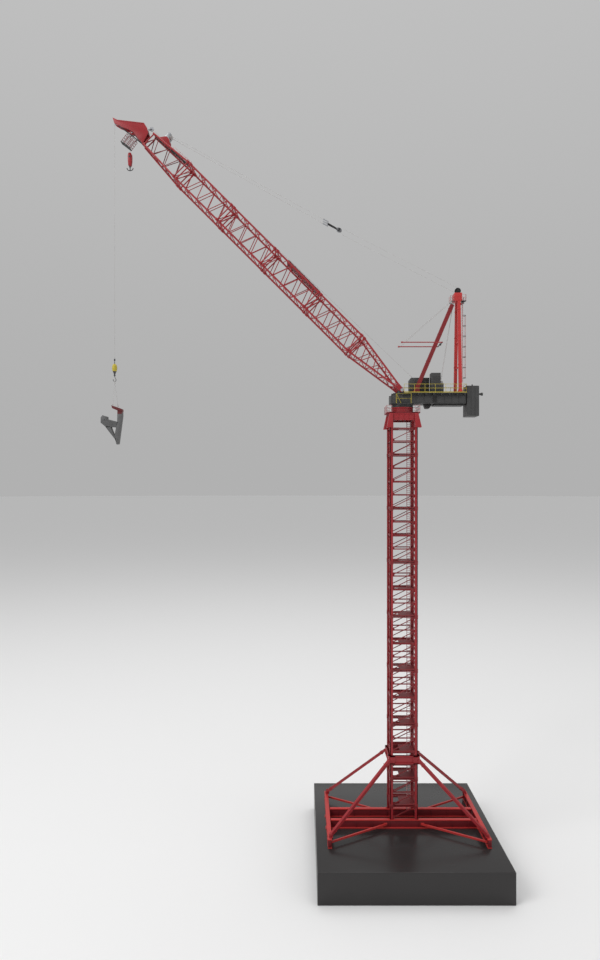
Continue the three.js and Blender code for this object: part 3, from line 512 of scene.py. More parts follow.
def makeCollar():
    bm = bmesh.new()
    out, low, high = 26.5, 160, 174
    for sign in (-1, 1):
        for z in (low, high - 2):
            addBlock(bm, (-out, sign * 25 - 1.5, z), (out, sign * 25 + 1.5, z + 2), 0.2)
            addBlock(bm, (sign * 25 - 1.5, -out, z), (sign * 25 + 1.5, out, z + 2), 0.2)
        addBlock(bm, (-out, sign * 24.3 - 0.7, low), (out, sign * 24.3 + 0.7, high), 0.15)
        addBlock(bm, (sign * 24.3 - 0.7, -out, low), (sign * 24.3 + 0.7, out, high), 0.15)
        for other in (-1, 1):
            addBlock(bm, (sign * 21 - 5.6, other * 25.2 - 1.3, low),
                     (sign * 21 + 5.6, other * 25.2 + 1.3, high), 0.2)
            addBlock(bm, (other * 25.2 - 1.3, sign * 21 - 5.6, low),
                     (other * 25.2 + 1.3, sign * 21 + 5.6, high), 0.2)
            for z in (163, 167, 171):
                addTube(bm, (sign * 18, other * 26.4, z), (sign * 18, other * 27.1, z), 0.7, 6)
    finishPiece("strutCollar", bm, "craneRed", "base", ["strut_collar"])


makePlinth()
makeCrossBeams()
makeSills()
makeStruts()
makeCollar()
print("plinth and ground frame ready")

# tower
tower = {"half": 21, "leg": 5, "skin": 1.2, "pitch": 23, "rail": 1.9, "lace": 1.5, "floorHatch": (-18, -6)}


def addRing(bm, z, tall, wide):
    half = tower["half"]
    for sign in (-1, 1):
        addBlock(bm, (-half, sign * half - wide / 2, z - tall / 2),
                 (half, sign * half + wide / 2, z + tall / 2))
        addBlock(bm, (sign * half - wide / 2, -half, z - tall / 2),
                 (sign * half + wide / 2, half, z + tall / 2))


def addTowerFloor(bm, z):
    low, high = tower["floorHatch"]
    for box in (((-20, -20), (low, 20)), ((high, -20), (8.4, 20)), ((low, -20), (high, -12)),
                ((low, 12), (high, 20)),
                ((8.4, -20), (17.6, 9.3)), ((8.4, 14.7), (17.6, 20)), ((17.6, -20), (20, 20))):
        addBlock(bm, (*box[0], z - 0.6), (*box[1], z + 0.6))
    addBlock(bm, (low, -12, z + 0.6), (high, -11.3, z + 2))
    addBlock(bm, (low, 11.3, z + 0.6), (high, 12, z + 2))


def addTowerJoint(bm, z):
    # doubled frame with fishplates and bolt heads
    half, leg = tower["half"], tower["leg"]
    for offset in (-1.4, 1.4):
        addRing(bm, z + offset, 1.2, 3.0)
    for x in (-half, half):
        for y in (-half, half):
            addBlock(bm, (x - leg / 2 - 0.45, y - leg / 2 - 0.45, z - 3.4),
                     (x + leg / 2 + 0.45, y + leg / 2 + 0.45, z + 3.4), 0.2)
            for dz in (-2.1, 2.1):
                side = math.copysign(leg / 2 + 0.45, y)
                addTube(bm, (x, y + side, z + dz), (x, y + side * 1.16, z + dz), 0.6, 6)


def makeTowerSection(number, low, high):
    half, leg, skin, pitch = (tower[k] for k in ("half", "leg", "skin", "pitch"))
    bm = bmesh.new()
    for sx in (-1, 1):
        for sy in (-1, 1):
            x, y = sx * (half + leg / 2), sy * (half + leg / 2)
            box = sorted((x, x - sx * leg)), sorted((y, y - sy * skin))
            addBlock(bm, (box[0][0], box[1][0], low), (box[0][1], box[1][1], high))
            box = sorted((x, x - sx * skin)), sorted((y, y - sy * leg))
            addBlock(bm, (box[0][0], box[1][0], low), (box[0][1], box[1][1], high))
            addBlock(bm, (sx * half - 1.4, sy * half - 1.4, low), (sx * half + 1.6, sy * half + 1.6, high))
    legs = set(bm.verts)
    levels = [z for z in frange(88, 732, pitch) if low - 1 < z < high + 1]
    for z in levels:
        if round((z - 88) / pitch) % 2 == 0:
            if low + 1 < z < high - 1:
                addTowerJoint(bm, z)
                addTowerFloor(bm, z)
            elif abs(z - high) < 1:
                addRing(bm, z - 0.8, 1.3, 3.0)
                addTowerFloor(bm, z - 1.2)
            else:
                addRing(bm, z + 0.8, 1.3, 3.0)
        else:
            addRing(bm, z, tower["rail"], tower["rail"] * 0.8)
    for z in frange(65, 732, pitch):
        if low - 1 <= z < high - 1:
            for sign in (-1, 1):
                addBar(bm, (-half, sign * half, z + 1.2), (half, sign * half, z + pitch - 1.2),
                       tower["lace"], tower["lace"] * 0.8)
                addBar(bm, (sign * half, -half, z + 1.2), (sign * half, half, z + pitch - 1.2),
                       tower["lace"], tower["lace"] * 0.8)
                for x, dz in ((-half + 3.4, 2.6), (half - 3.4, pitch - 2.6)):
                    addBlock(bm, (x - 1.8, sign * half - 0.5, z + dz - 1.8),
                             (x + 1.8, sign * half + 0.5, z + dz + 1.8))
    # everything but the corner legs gets the darker red: painted shade
    tint(bm, [v for v in bm.verts if v not in legs], 1)
    finishPiece(f"towerSection{number}", bm, ["craneRed", "towerRed"], "base", [f"tower_section_{number}"])


def frange(start, stop, step):
    values = []
    while start <= stop + 0.01:
        values.append(start)
        start += step
    return values


ladders = {"tower": {"x": 13, "y": 12, "low": 66, "high": 744, "wide": 6, "step": 3.5}}


def makeTowerLadder():
    setup = ladders["tower"]
    x, y, low, high, wide = (setup[k] for k in ("x", "y", "low", "high", "wide"))
    bm = bmesh.new()
    for sign in (-1, 1):
        addBlock(bm, (x + sign * wide / 2 - 0.5, y - 0.6, low), (x + sign * wide / 2 + 0.5, y + 0.6, high))
    for z in frange(low + 2, high - 2, setup["step"]):
        addTube(bm, (x - wide / 2, y, z), (x + wide / 2, y, z), 0.32, 5)
    finishPiece("towerLadder", bm, "paleRail", "base", ["tower_ladder"])


headWorks = {"low": 732, "boxLow": 745, "top": 757, "floor": 759, "walk": 28.6, "ring": 19}


def makeTowerHead():
    low, boxLow, top = headWorks["low"], headWorks["boxLow"], headWorks["top"]
    bm = bmesh.new()
    for sign in (-1, 1):
        addBlock(bm, (-23.5, sign * 22.4 - 1.1, boxLow), (23.5, sign * 22.4 + 1.1, top), 0.2)
        addBlock(bm, (sign * 22.4 - 1.1, -23.5, boxLow), (sign * 22.4 + 1.1, 23.5, top), 0.2)
        addBlock(bm, (-23.9, sign * 20.5 - 3.4, boxLow - 0.6), (23.9, sign * 20.5 + 3.4, boxLow + 1.0), 0.2)
        addBlock(bm, (-24.4, sign * 20.5 - 3.9, top - 1.6), (24.4, sign * 20.5 + 3.9, top), 0.2)
        addBlock(bm, (sign * 20.5 - 3.4, -17, boxLow - 0.6), (sign * 20.5 + 3.4, 17, boxLow + 1.0), 0.2)
        addBlock(bm, (sign * 20.5 - 3.9, -17, top - 1.6), (sign * 20.5 + 3.9, 17, top), 0.2)
        for x in (-9, 0, 9):
            addBlock(bm, (x - 0.4, sign * 23.6 - 0.5, boxLow), (x + 0.4, sign * 23.6 + 0.5, top), 0)
            addBlock(bm, (sign * 23.6 - 0.5, x - 0.4, boxLow), (sign * 23.6 + 0.5, x + 0.4, top), 0)
        for other in (-1, 1):
            post = bmesh.ops.create_cube(bm, size=1,
                                         matrix=Matrix.Translation((sign * 21.5, other * 21.5,
                                                                    (low + top) / 2))
                                         @ Matrix.Diagonal((6, 6, top - low, 1)))["verts"]
            for v in post:
                if v.co.z < boxLow:
                    v.co.x = sign * (29.5 if abs(v.co.x) > 21.5 else 18.5)
                    v.co.y = other * (29.5 if abs(v.co.y) > 21.5 else 18.5)
            softened(bm, post, 0.35)
            for z in (738, 750):
                addTube(bm, (sign * 21.5, other * 20, z), (sign * 21.5, other * (28.6 - (z - low) * 0.2), z),
                        0.9, 6)
    finishPiece("towerHead", bm, "craneRed", "base", ["tower_head"])


def addRailing(bm, corners, low, high, rails, every, thick=0.8, toe=0.0):
    for a, b in zip(corners, corners[1:]):
        run = math.hypot(b[0] - a[0], b[1] - a[1])
        for z in rails:
            addTube(bm, (*a, z), (*b, z), thick / 2, 6)
        if toe:
            addBar(bm, (*a, low + toe / 2), (*b, low + toe / 2), 0.5, toe)
        count = max(1, round(run / every))
        for n in range(count + 1):
            x, y = a[0] + (b[0] - a[0]) * n / count, a[1] + (b[1] - a[1]) * n / count
            addTube(bm, (x, y, low), (x, y, high), thick * 0.55, 6)


def makeHeadWalkway():
    top, up, walk = headWorks["top"], headWorks["floor"], headWorks["walk"]
    bm = bmesh.new()
    for sx in (-1, 1):
        low, high = sorted((sx * 14, sx * walk))
        floor = addBlock(bm, (low, -19, top), (high, 19, up - 0.4)) + addBlock(bm,
                (-24, sx * 16.5 - 2.5, top), (24, sx * 16.5 + 2.5, up))
        for n in range(19):
            floor += addBlock(bm, (low, n * 2 - 18.3, up - 0.4), (high, n * 2 - 17.7, up))
        # the floor gets the darker red: painted shade under the deck
        tint(bm, floor, 1)
        edge = sx * (walk - 0.4)
        addRailing(bm, [(sx * 20, -18.6), (edge, -18.6), (edge, 18.6), (sx * 20, 18.6)], up - 0.3, 770.8,
                   [764.8, 770.3], 9.3, 0.7, 1.0)
    finishPiece("headWalkway", bm, ["paleRail", "paintedShadeRed"], "base", ["head_walkway"])


def makeSlewRing():
    r = headWorks["ring"]
    bm = bmesh.new()
    addSpun(bm, [(12, 759), (r, 759), (r, 760.4), (r - 0.9, 760.8), (r - 0.9, 765.2), (r, 765.8), (r, 767.4),
                 (r - 0.5, 767.7),
                 (12, 767.7), (12, 759)], (0, 0, 0), steps=64)
    for n in range(36):
        turn = math.tau * n / 36
        x, y = math.cos(turn) * (r - 0.7), math.sin(turn) * (r - 0.7)
        addTube(bm, (x, y, 760.8), (x, y, 765.2), 0.45, 6)
    finishPiece("slewRing", bm, "craneRed", "base", ["slew_ring"])


for number in range(1, 8):
    top = 180 + 92 * (number - 1)
    makeTowerSection(number, 65 if number == 1 else top - 92, top)
makeTowerLadder()
makeTowerHead()
makeHeadWalkway()
makeSlewRing()
print("tower ready")

# deck and machinery
deck = {"left": -21, "right": 107, "half": 17, "walk": 24, "low": 773.6, "top": 791.5}


def makeTurntable():
    bm = bmesh.new()
    addSpun(bm, [(12, 768), (19, 768), (19, 769.2), (18, 769.8), (18, 772.2), (19, 772.8), (19, 773.6), (12,
            773.6), (12, 768)],
            (0, 0, 0), steps=64)
    for n in range(30):
        turn = math.tau * n / 30
        x, y = math.cos(turn) * 18.2, math.sin(turn) * 18.2
        addTube(bm, (x, y, 769.6), (x, y, 772.4), 0.45, 6)
    finishPiece("turntable", bm, "deckGrey", "upperworks", ["turntable"])


def makeDeck():
    left, right, half, walk, low, top = (deck[k] for k in ("left", "right", "half", "walk", "low", "top"))
    bm = bmesh.new()
    addPlate(bm, [(left, low), (50.7, low), (50.7, top), (left + 4, top), (left, top - 4)], -half + 0.6,
             half - 0.6, 0.25)
    addPlate(bm, [(50.7, low), (56.7, low), (56.7, top), (50.7, top)], -half + 3.6, half - 0.6)
    addPlate(bm, [(56.7, low), (right, low), (right, top), (56.7, top)], -half + 0.6, half - 0.6, 0.25)
    black = addBlock(bm, (50.75, -half + 0.3, 775.2), (56.65, -half + 3.7, 787))
    tint(bm, black, 1)
    for z0, z1 in ((773.6, 775.2), (787, 791.2)):
        addBlock(bm, (50.7, -half + 0.6, z0), (56.7, -half + 4, z1))
    for side in (-1, 1):
        inner, outer = sorted((side * (half - 1), side * half))
        for a, b in ((left + 0.4, 50.7), (56.7, right)):
            addBlock(bm, (a, inner, low), (b, outer, low + 1.4), 0.15)
            addBlock(bm, (a, inner, top - 2.6), (b, outer, top - 1.3), 0.15)
        for x in (left + 0.9, -6, 8, 22, 36, 50.1, 57.3, 70, 83, 95, right - 0.6):
            addBlock(bm, (x - 0.4, inner, low + 1), (x + 0.4, outer, top - 2))
        for x in frange(-2, 104, 13.2):
            reach = sorted((side * half, side * walk))
            addPlate(bm, [(x - 0.5, top - 1.3), (x + 0.5, top - 1.3), (x + 0.5, top - 4.4), (x - 0.5,
                    top - 4.4)], reach[0], side * 20.5 if side > 0 else reach[1])
        lug = [(-8, 790.5), (3, 790.5), (0.6, 797.8), (-0.9, 799.6), (-3, 800.2), (-5.1, 799.6),
               (-6.6, 797.8)]
        addPlate(bm, lug, *sorted((side * 13, side * 17)), 0.2)
        addTube(bm, (-3, side * 12.2, 796), (-3, side * 17.6, 796), 3.1, 18)
    addBlock(bm, (-4, -walk, top - 1.3), (right, walk, top - 0.35))
    for n in range(44):
        x = -3 + n * 2.5
        for side in (-1, 1):
            addBlock(bm, (x - 0.3, min(side * half, side * walk), top - 0.35),
                     (x + 0.3, max(side * half, side * walk), top))
    tint(bm, addPlate(bm, [(37.2, 773.8), (37.6, 771.5), (39.8, 766.2), (46, 766.2), (49.6, 771), (50,
            773.8)], -7, 7, 0.4), 1)
    tray = addBlock(bm, (53, -12, 770.8), (105, 12, 773.7), 0.4)
    tint(bm, tray, 1)
    for x in (60, 76, 92):
        addBlock(bm, (x - 0.6, -13, 771.2), (x + 0.6, 13, 773.6))
    finishPiece("deckGirder", bm, ["deckGrey", "blackPaint"], "upperworks", ["deck_frame"])


def makeDeckCage():
    # a step ladder and landing hung on the near side
    bm = bmesh.new()
    near, far = -24.4, -17.6
    floor = addBlock(bm, (-13, near, 772.4), (13, -19.3, 773.2))
    tint(bm, floor, 1)
    for x in (-12.6, 12.6):
        addTube(bm, (x, near, 773), (x, near, 789.6), 0.24, 6)
    for z in (781.4, 789.4):
        addTube(bm, (-12.6, near, z), (12.6, near, z), 0.2, 6)
    for x in (-12.6, 12.6):
        for z in (781.4, 789.4):
            addTube(bm, (x, near, z), (x, far, z), 0.2, 6)
        addTube(bm, (x, far, 773), (x, far, 789.6), 0.24, 6)
    for y in (near + 0.5, -20.6):
        addBar(bm, (-12.4, y, 789), (-5, y, 773.4), 0.45, 0.4)
    for n in range(1, 7):
        share = n / 7
        tint(bm, addBlock(bm, (-13.4 + 7.4 * share, near + 0.4, 788.8 - 15.4 * share),
                          (-11.4 + 7.4 * share, -20.4, 789.2 - 15.4 * share)), 1)
    finishPiece("deckCage", bm, ["railYellow", "deckGrey"], "upperworks", ["deck_cage"])


def makeCounterweight():
    bm = bmesh.new()
    for x0, x1 in ((109, 115.9), (116.1, 122.9), (123.1, 130)):
        addBlock(bm, (x0, -15.4, 752.5), (x1, 15.4, 804), 0.5)
    addBlock(bm, (110, -14.6, 753.4), (129, 14.6, 803))
    addBlock(bm, (107, -12, 776), (110, 12, 790), 0.2)
    for y in (-9, 9):
        addBlock(bm, (108.6, y - 1.2, 803.4), (130.2, y + 1.2, 805), 0.2)
        addTube(bm, (119.4, y, 804.6), (119.4, y, 807), 1.0, 10)
    addTube(bm, (129.6, 0, 791.5), (137, 0, 791.5), 1.7, 16)
    addTube(bm, (136.6, 0, 791.5), (139.7, 0, 791.5), 2.7, 20)
    addTube(bm, (129.8, 0, 791.5), (131, 0, 791.5), 3.2, 20)
    finishPiece("counterweight", bm, "deckGrey", "upperworks", ["counterweight"])


winch = {"x": 25.3, "z": 806, "flange": 9.1}


def makeWinchHouse():
    bm = bmesh.new()
    outline = [(13.7, 791.5), (48.4, 791.5), (48.4, 821), (16.6, 821), (13.7, 817.6)]
    addPlate(bm, outline, 6, 8.4, 0.2)
    addBlock(bm, (13.7, 8, 791.5), (15.7, 21, 817.4), 0.25)
    addBlock(bm, (36.7, 8, 791.5), (48.4, 21, 821), 0.3)
    addBlock(bm, (14, 8, 791.5), (48.4, 21, 793.5), 0.2)
    addBlock(bm, (16.6, 8, 818.7), (37, 12, 821), 0.2)
    addBlock(bm, (16.6, 18, 818.7), (37, 21, 821), 0.2)
    addBlock(bm, (30.3, 11, 818.7), (37, 19, 821), 0.2)
    addBlock(bm, (22.9, 20.2, 792), (27.7, 21, 810), 0.2)
    for x in (21, 31, 41):
        addBlock(bm, (x - 4.2, 5.7, 796), (x + 4.2, 6.2, 816.5), 0.2)
        addTube(bm, (x + 3, 5.3, 806), (x + 3, 5.9, 806), 0.45, 8)
    for z in frange(797, 815, 2.2):
        addBlock(bm, (39, 20.8, z - 0.5), (46.5, 21.4, z + 0.5))
    finishPiece("winchHouse", bm, "deckGrey", "upperworks", ["winch_house"])


def makeHoistDrum():
    x, z = winch["x"], winch["z"]
    bm = bmesh.new()
    addSpun(bm, [(0, 4.8), (1.8, 4.8), (1.8, 8.9), (winch["flange"], 8.9), (winch["flange"], 9.8), (6.2,
            9.8), (6.2, 18.9),
                 (winch["flange"], 18.9), (winch["flange"], 19.8), (1.8, 19.8), (1.8, 21.7), (0, 21.7)],
                 (x, 0, z), "Y", 40)
    wound = []
    for n in range(10):
        ring = bow((x, z), 6.8, 0, 360, 28, 10.3 + n * 0.9)
        before = set(bm.verts)
        addRope(bm, ring, 0.45, 6)
        wound += [v for v in bm.verts if v not in before]
    tint(bm, wound, 1)
    finishPiece("hoistDrum", bm, ["darkSteel", "wireRope"], "hoist_drum", ["hoist_drum"])


def makePowerPack():
    bm = bmesh.new()
    addBlock(bm, (48.7, -11.6, 791.5), (65, 5.3, 826.9), 0.35)
    addBlock(bm, (64, -11.6, 791.5), (70, 5.3, 809), 0.3)
    for z in frange(799, 822, 2.4):
        addBlock(bm, (50.5, -12, z - 0.4), (63, -11.5, z + 0.3))
    for y in (-6.5, 0.5):
        addTube(bm, (57, y, 825.6), (57, y, 827), 2.6, 20)
    finishPiece("powerPack", bm, "deckGrey", "upperworks", ["power_pack"])


def makeHandrail():
    bm = bmesh.new()
    edge, right, top = deck["walk"] - 0.6, deck["right"], deck["top"]
    for side in (-1, 1):
        addBlock(bm, (0, side * edge - 0.5, top), (right, side * edge + 0.5, top + 1.3), 0.1)
    addBlock(bm, (right - 1, -edge, top), (right, edge, top + 1.3), 0.1)
    addRailing(bm, [(0.5, -edge), (right - 0.5, -edge), (right - 0.5, edge), (0.5, edge)], top, 806.3,
               [799, 806], 19, 0.62)
    finishPiece("deckHandrail", bm, "railYellow", "upperworks", ["deck_handrail"])


makeTurntable()
makeDeck()
makeDeckCage()
makeCounterweight()
makeWinchHouse()
makeHoistDrum()
makePowerPack()
makeHandrail()
print("deck ready")

# A-frame
mast = {"x": 96.5, "footY": 20.5, "topY": 9.0, "top": 951, "wide": 4.8, "apex": (96.5, 970.3)}


def makeBackLegs():
    bm = bmesh.new()
    foot, head = Vector((mast["x"], mast["footY"], 793)), Vector((mast["x"], mast["topY"], 950.6))

    def leg(bm):
        addBar(bm, foot, head, 5.2, 4.8, (0, 1, 0))
        for share in (0.30, 0.62, 0.91):
            at = foot.lerp(head, share)
            addBlock(bm, (at.x - 3.1, at.y - 2.9, at.z - 0.6), (at.x + 3.1, at.y + 2.9, at.z + 0.6), 0.15)
        addBlock(bm, (91, 16.5, 791.5), (102, 22.6, 793.2), 0.25)
        for x in (92.6, 100.4):
            addTube(bm, (x, 18, 793), (x, 18, 794.1), 0.8, 6)
        addPlate(bm, [(92.2, 793), (100.8, 793), (99, 800), (94, 800)], 19.7, 21.3, 0.15)

    mirrored(bm, leg)
    for share in (0.28, 0.56, 0.91):
        at = foot.lerp(head, share)
        addBlock(bm, (95.4, -at.y, at.z - 1.1), (97.6, at.y, at.z + 1.1), 0.2)
    # the legs are in the lighter red: painted highlight
    finishPiece("aframeBackLegs", bm, "brightRed", "upperworks", ["aframe_back_legs"],
                soft=0.25)


def makeFrontStrut():
    bm = bmesh.new()
    foot, head = Vector((21.8, 0, 792.6)), Vector((87.0, 0, 946.6))
    addBar(bm, foot, head, 6.8, 6.6, (-1, 0, 0.4))
    ahead = (head - foot).normalized()
    for share in (0.07, 0.36, 0.66, 0.95):
        at = foot.lerp(head, share)
        addBar(bm, at, at + ahead * 1.2, 7.4, 7.2, (-1, 0, 0.4))
    addBlock(bm, (15.5, -5.4, 791.5), (33, 5.4, 793.4), 0.25)
    for y in (-4.4, 4.4):
        addPlate(bm, [(16.5, 793), (31, 793), (29, 803), (24, 803)], y - 0.7, y + 0.7, 0.2)
    addTube(bm, (24, -5.8, 797.5), (24, 5.8, 797.5), 1.3, 14)
    # the strut is in the darker red: painted shade
    finishPiece("aframeFrontStrut", bm, "towerRed", "upperworks", ["aframe_front_strut"],
                soft=0.25)


def makeMastHead():
    bm = bmesh.new()
    addBlock(bm, (88.9, -10.5, 951), (102, 10.5, 965), 0.5)
    addBlock(bm, (88.5, -10.8, 957.6), (102.4, 10.8, 958.4), 0.15)
    for x in (91, 95.5, 100):
        for side in (-1, 1):
            addTube(bm, (x, side * 10.4, 962), (x, side * 10.9, 962), 0.5, 6)

    def side(bm):
        cheek = addPlate(bm, [(91.4, 964), (101.2, 964), (98.6, 972), (97.4, 973.6), (95.6, 973.6), (94.4,
                972)], 2.3, 4.3, 0.2)
        tint(bm, cheek, 1)
        tint(bm, addTube(bm, (96.5, 4.2, 970.3), (96.5, 5.2, 970.3), 2.2, 16), 1)
        walk = addBlock(bm, (82.6, 4.9, 950.5), (90, 7.2, 951.2)) + addBlock(bm, (101, 4.9, 950.5),
                (109.2, 10.4, 951.2))
        walk += addPlate(bm, [(101, 951), (107.4, 951), (107.4, 949.6), (101, 946.8)], 8, 9.4, 0.1)
        for n in range(8):
            walk += addBlock(bm, (101.4 + n, 4.9, 951.2), (101.7 + n, 10.4, 951.5))
        tint(bm, walk, 1)
        before = set(bm.verts)
        addRailing(bm, [(89.4, 6.7), (83, 6.7), (83, 5.4)], 951, 961, [956, 960.6], 7.5, 0.6)
        addRailing(bm, [(101.4, 9.9), (108.8, 9.9), (108.8, 5.5)], 951, 962, [956.5, 961.6], 7.5, 0.6)
        tint(bm, [v for v in bm.verts if v not in before], 2)

    mirrored(bm, side)
    # the head block is in the lighter red: painted highlight
    finishPiece("aframeHead", bm, ["brightRed", "blackPaint", "paleRail"], "upperworks", ["aframe_head"])


def makeMastLadder():
    bm = bmesh.new()
    x = 104.6
    for y in (-3, 3):
        addBlock(bm, (x - 0.35, y - 0.35, 812), (x + 0.35, y + 0.35, 957))
        addBlock(bm, (99.2, y - 0.35, 814.1), (x, y + 0.35, 814.9))
    for z in frange(815, 955, 3.6):
        addTube(bm, (x, -3, z), (x, 3, z), 0.24, 5)
    hoops = set(bm.verts)
    for z in frange(819.6, 928, 18):
        ring = [(x, -3.4, z), (x + 2.8, -4.1, z), (x + 5, -2.8, z), (x + 5.8, 0, z), (x + 5, 2.8, z),
                (x + 2.8, 4.1, z), (x, 3.4, z)]
        addRope(bm, ring, 0.42, 6)
    tint(bm, [v for v in bm.verts if v not in hoops], 1)
    for dx, y in ((5.6, 0), (4.2, 3.2), (4.2, -3.2)):
        addBlock(bm, (x + dx - 0.15, y - 0.2, 819.6), (x + dx + 0.15, y + 0.2, 928))
    addBlock(bm, (102.2, -0.5, 948), (x, 0.5, 949))
    addBlock(bm, (x - 0.35, -3, 948), (x + 0.35, 3, 949))
    finishPiece("aframeLadder", bm, ["paleRail", "deckGrey"], "upperworks", ["aframe_ladder"])


bufferSetup = {"z": 877.6, "y": 20, "rod": 0.9, "tip": -4.4, "end": 66.4}


def makeBufferRods():
    z, y, tip, end = (bufferSetup[k] for k in ("z", "y", "tip", "end"))
    bm = bmesh.new()

    def rail(bm):
        addTube(bm, (tip, y, z), (end, y, z), bufferSetup["rod"], 12)
        addTube(bm, (tip, y, z), (tip + 2.6, y, z), 1.4, 14)
        tint(bm, addTube(bm, (0, y, z), (88.2, 8.3, 954.8), 0.24, 6), 1)

    mirrored(bm, rail)
    dark = addTube(bm, (66, -20.5, z), (66, 20.5, z), 1.0, 12) + addBlock(bm, (65, -3.4, z - 1.6),
            (67.5, 3.4, z + 1.6), 0.2)
    tint(bm, dark, 2)
    finishPiece("jibBufferRods", bm, ["craneRed", "wireRope", "blackPaint"], "upperworks",
                ["jib_buffer_rods"])


def makeMastRopes():
    # hauling parts from the apex sheave down to the machinery
    bm = bmesh.new()
    for y in (-1.2, 1.2):
        addTube(bm, (91.6, y, 968.2), (67.4, y * 3, 815), 0.22, 6)
    addTube(bm, (67.4, -4.4, 811.4), (67.4, 4.4, 811.4), 2.2, 20)
    for y in (-4.6, 4.6):
        addTube(bm, (67.4, y - 0.4, 811.4), (67.4, y + 0.4, 811.4), 2.7, 20)
    finishPiece("mastRopes", bm, "wireRope", "upperworks", ())


makeBackLegs()
makeFrontStrut()
makeMastHead()
makeMastLadder()
makeBufferRods()
makeMastRopes()
print("A-frame ready")

# jib, shaped along its own axis: s runs out from the foot pin, v is square to it
jib = {"foot": 111, "step": 104.75, "neck": 530, "end": 616, "half": 20.4, "deep": 17.6, "chord": 1.6,
       "lace": 0.72, "frame": 1.15}
jibPlace = Matrix.Translation((-3, 0, 796)) @ Matrix.Rotation(math.radians(45), 4, "Y")


def onJib(s, v, y=0.0):
    return jibPlace @ Vector((-s, y, v))


def section(s):
    # half width and half depth of the lattice at station s
    if s < jib["foot"]:
        return jib["half"], 2.2 + (jib["deep"] - 2.2) * max(0, s - 8) / (jib["foot"] - 8)
    if s > jib["neck"]:
        share = (s - jib["neck"]) / (jib["end"] - jib["neck"])
        return jib["half"] + (8 - jib["half"]) * share, jib["deep"] + (12.5 - jib["deep"]) * share
    return jib["half"], jib["deep"]


def addJibFrame(bm, s, thick):
    y, v = section(s)
    corners = [(-s, -y, -v), (-s, y, -v), (-s, y, v), (-s, -y, v)]
    for a, b in zip(corners, corners[1:] + corners[:1]):
        addTube(bm, a, b, thick, 8)
    addTube(bm, corners[0], corners[2], thick * 0.6, 6)


def addLattice(bm, start, stop, panels, finish=0):
    for y in (-1, 1):
        for v in (-1, 1):
            a, b = section(start), section(stop)
            addTube(bm, (-start, y * a[0], v * a[1]), (-stop, y * b[0], v * b[1]), jib["chord"], 10)
    chords = set(bm.verts)
    for n in range(panels):
        p = start + (stop - start) * n / panels
        q = start + (stop - start) * (n + 1) / panels
        m = (p + q) / 2
        P, Q, M = section(p), section(q), section(m)
        for y in (-1, 1):
            addTube(bm, (-p, y * P[0], y * P[1]), (-m, y * M[0], -y * M[1]), jib["lace"], 6)
            addTube(bm, (-m, y * M[0], -y * M[1]), (-q, y * Q[0], y * Q[1]), jib["lace"], 6)
        for v in (-1, 1):
            addTube(bm, (-p, -P[0], v * P[1]), (-m, M[0], v * M[1]), jib["lace"], 6)
            addTube(bm, (-m, M[0], v * M[1]), (-q, -Q[0], v * Q[1]), jib["lace"], 6)
        if n:
            for v in (-1, 1):
                addTube(bm, (-p, -P[0], v * P[1]), (-p, P[0], v * P[1]), jib["lace"], 6)
    tint(bm, [v for v in bm.verts if v not in chords], finish)


def addPinLug(bm, s):
    # fork and pin where two sections meet
    y, v = section(s)
    for sy in (-1, 1):
        for sv in (-1, 1):
            addBlock(bm, (-s - 2.6, sy * y - 2.1, sv * v - 2.1), (-s + 2.6, sy * y + 2.1, sv * v + 2.1), 0.3)
            addTube(bm, (-s, sy * y - 2.8, sv * v), (-s, sy * y + 2.8, sv * v), 0.8, 10)


def makeJibFoot():
    bm = bmesh.new()
    addLattice(bm, 9, jib["foot"] - 0.3, 4)
    addJibFrame(bm, jib["foot"] - 3.2, jib["frame"])
    addPinLug(bm, jib["foot"] - 3.4)

    def cheek(bm):
        outline = [(3.2, -2), (3.5, 0), (3.2, 2), (0, 3.5), (-12, 4.4), (-16, 3.4), (-11, 0), (-16, -3.4),
                   (-12, -4.4), (0, -3.5)]
        addPlate(bm, outline, 18.6, 21.4, 0.25)
        addTube(bm, (0, 18.2, 0), (0, 21.8, 0), 3.3, 20)

    mirrored(bm, cheek)
    finishPiece("jibFoot", bm, ["craneRed", "deepRedAndPaintedShade"], "jib", ["jib_foot_section"], jibPlace)


def makeFootPin():
    bm = bmesh.new()
    addTube(bm, (-3, -22.6, 796), (-3, 22.6, 796), 2, 24)
    for side in (-1, 1):
        addTube(bm, (-3, side * 21.9, 796), (-3, side * 22.8, 796), 3, 6)
    finishPiece("jibFootPin", bm, "turnedSteel", "jib", ["jib_foot_pin"])


def makeJibSection(n):
    start = jib["foot"] + jib["step"] * n
    stop = start + jib["step"]
    bm = bmesh.new()
    addLattice(bm, start + 0.3, stop - 0.3, 4)
    addJibFrame(bm, start + 3.2, jib["frame"])
    addJibFrame(bm, stop - 3.2, jib["frame"])
    addPinLug(bm, start + 3.4)
    addPinLug(bm, stop - 3.4)
    if n == 1:
        deep = jib["deep"]
        tint(bm, addBlock(bm, (-295, -14, deep + 0.6), (-217.5, 14, deep + 4.3), 0.3), 1)
        for s in frange(224, 290, 11):
            tint(bm, addBlock(bm, (-s - 0.5, -14.3, deep + 0.4), (-s + 0.5, 14.3, deep + 4.6)), 1)
        for s in (226, 256, 286):
            addTube(bm, (-s, -jib["half"], deep + 0.8), (-s, jib["half"], deep + 0.8), 1.0, 8)
    finishPiece(f"jibSection{n + 1}", bm, ["craneRed", "deepRedAndPaintedShade"], "jib", [f"jib_section_{n + 1}"],
                jibPlace)


pendantPin = {"s": 594.4, "v": 30.8}


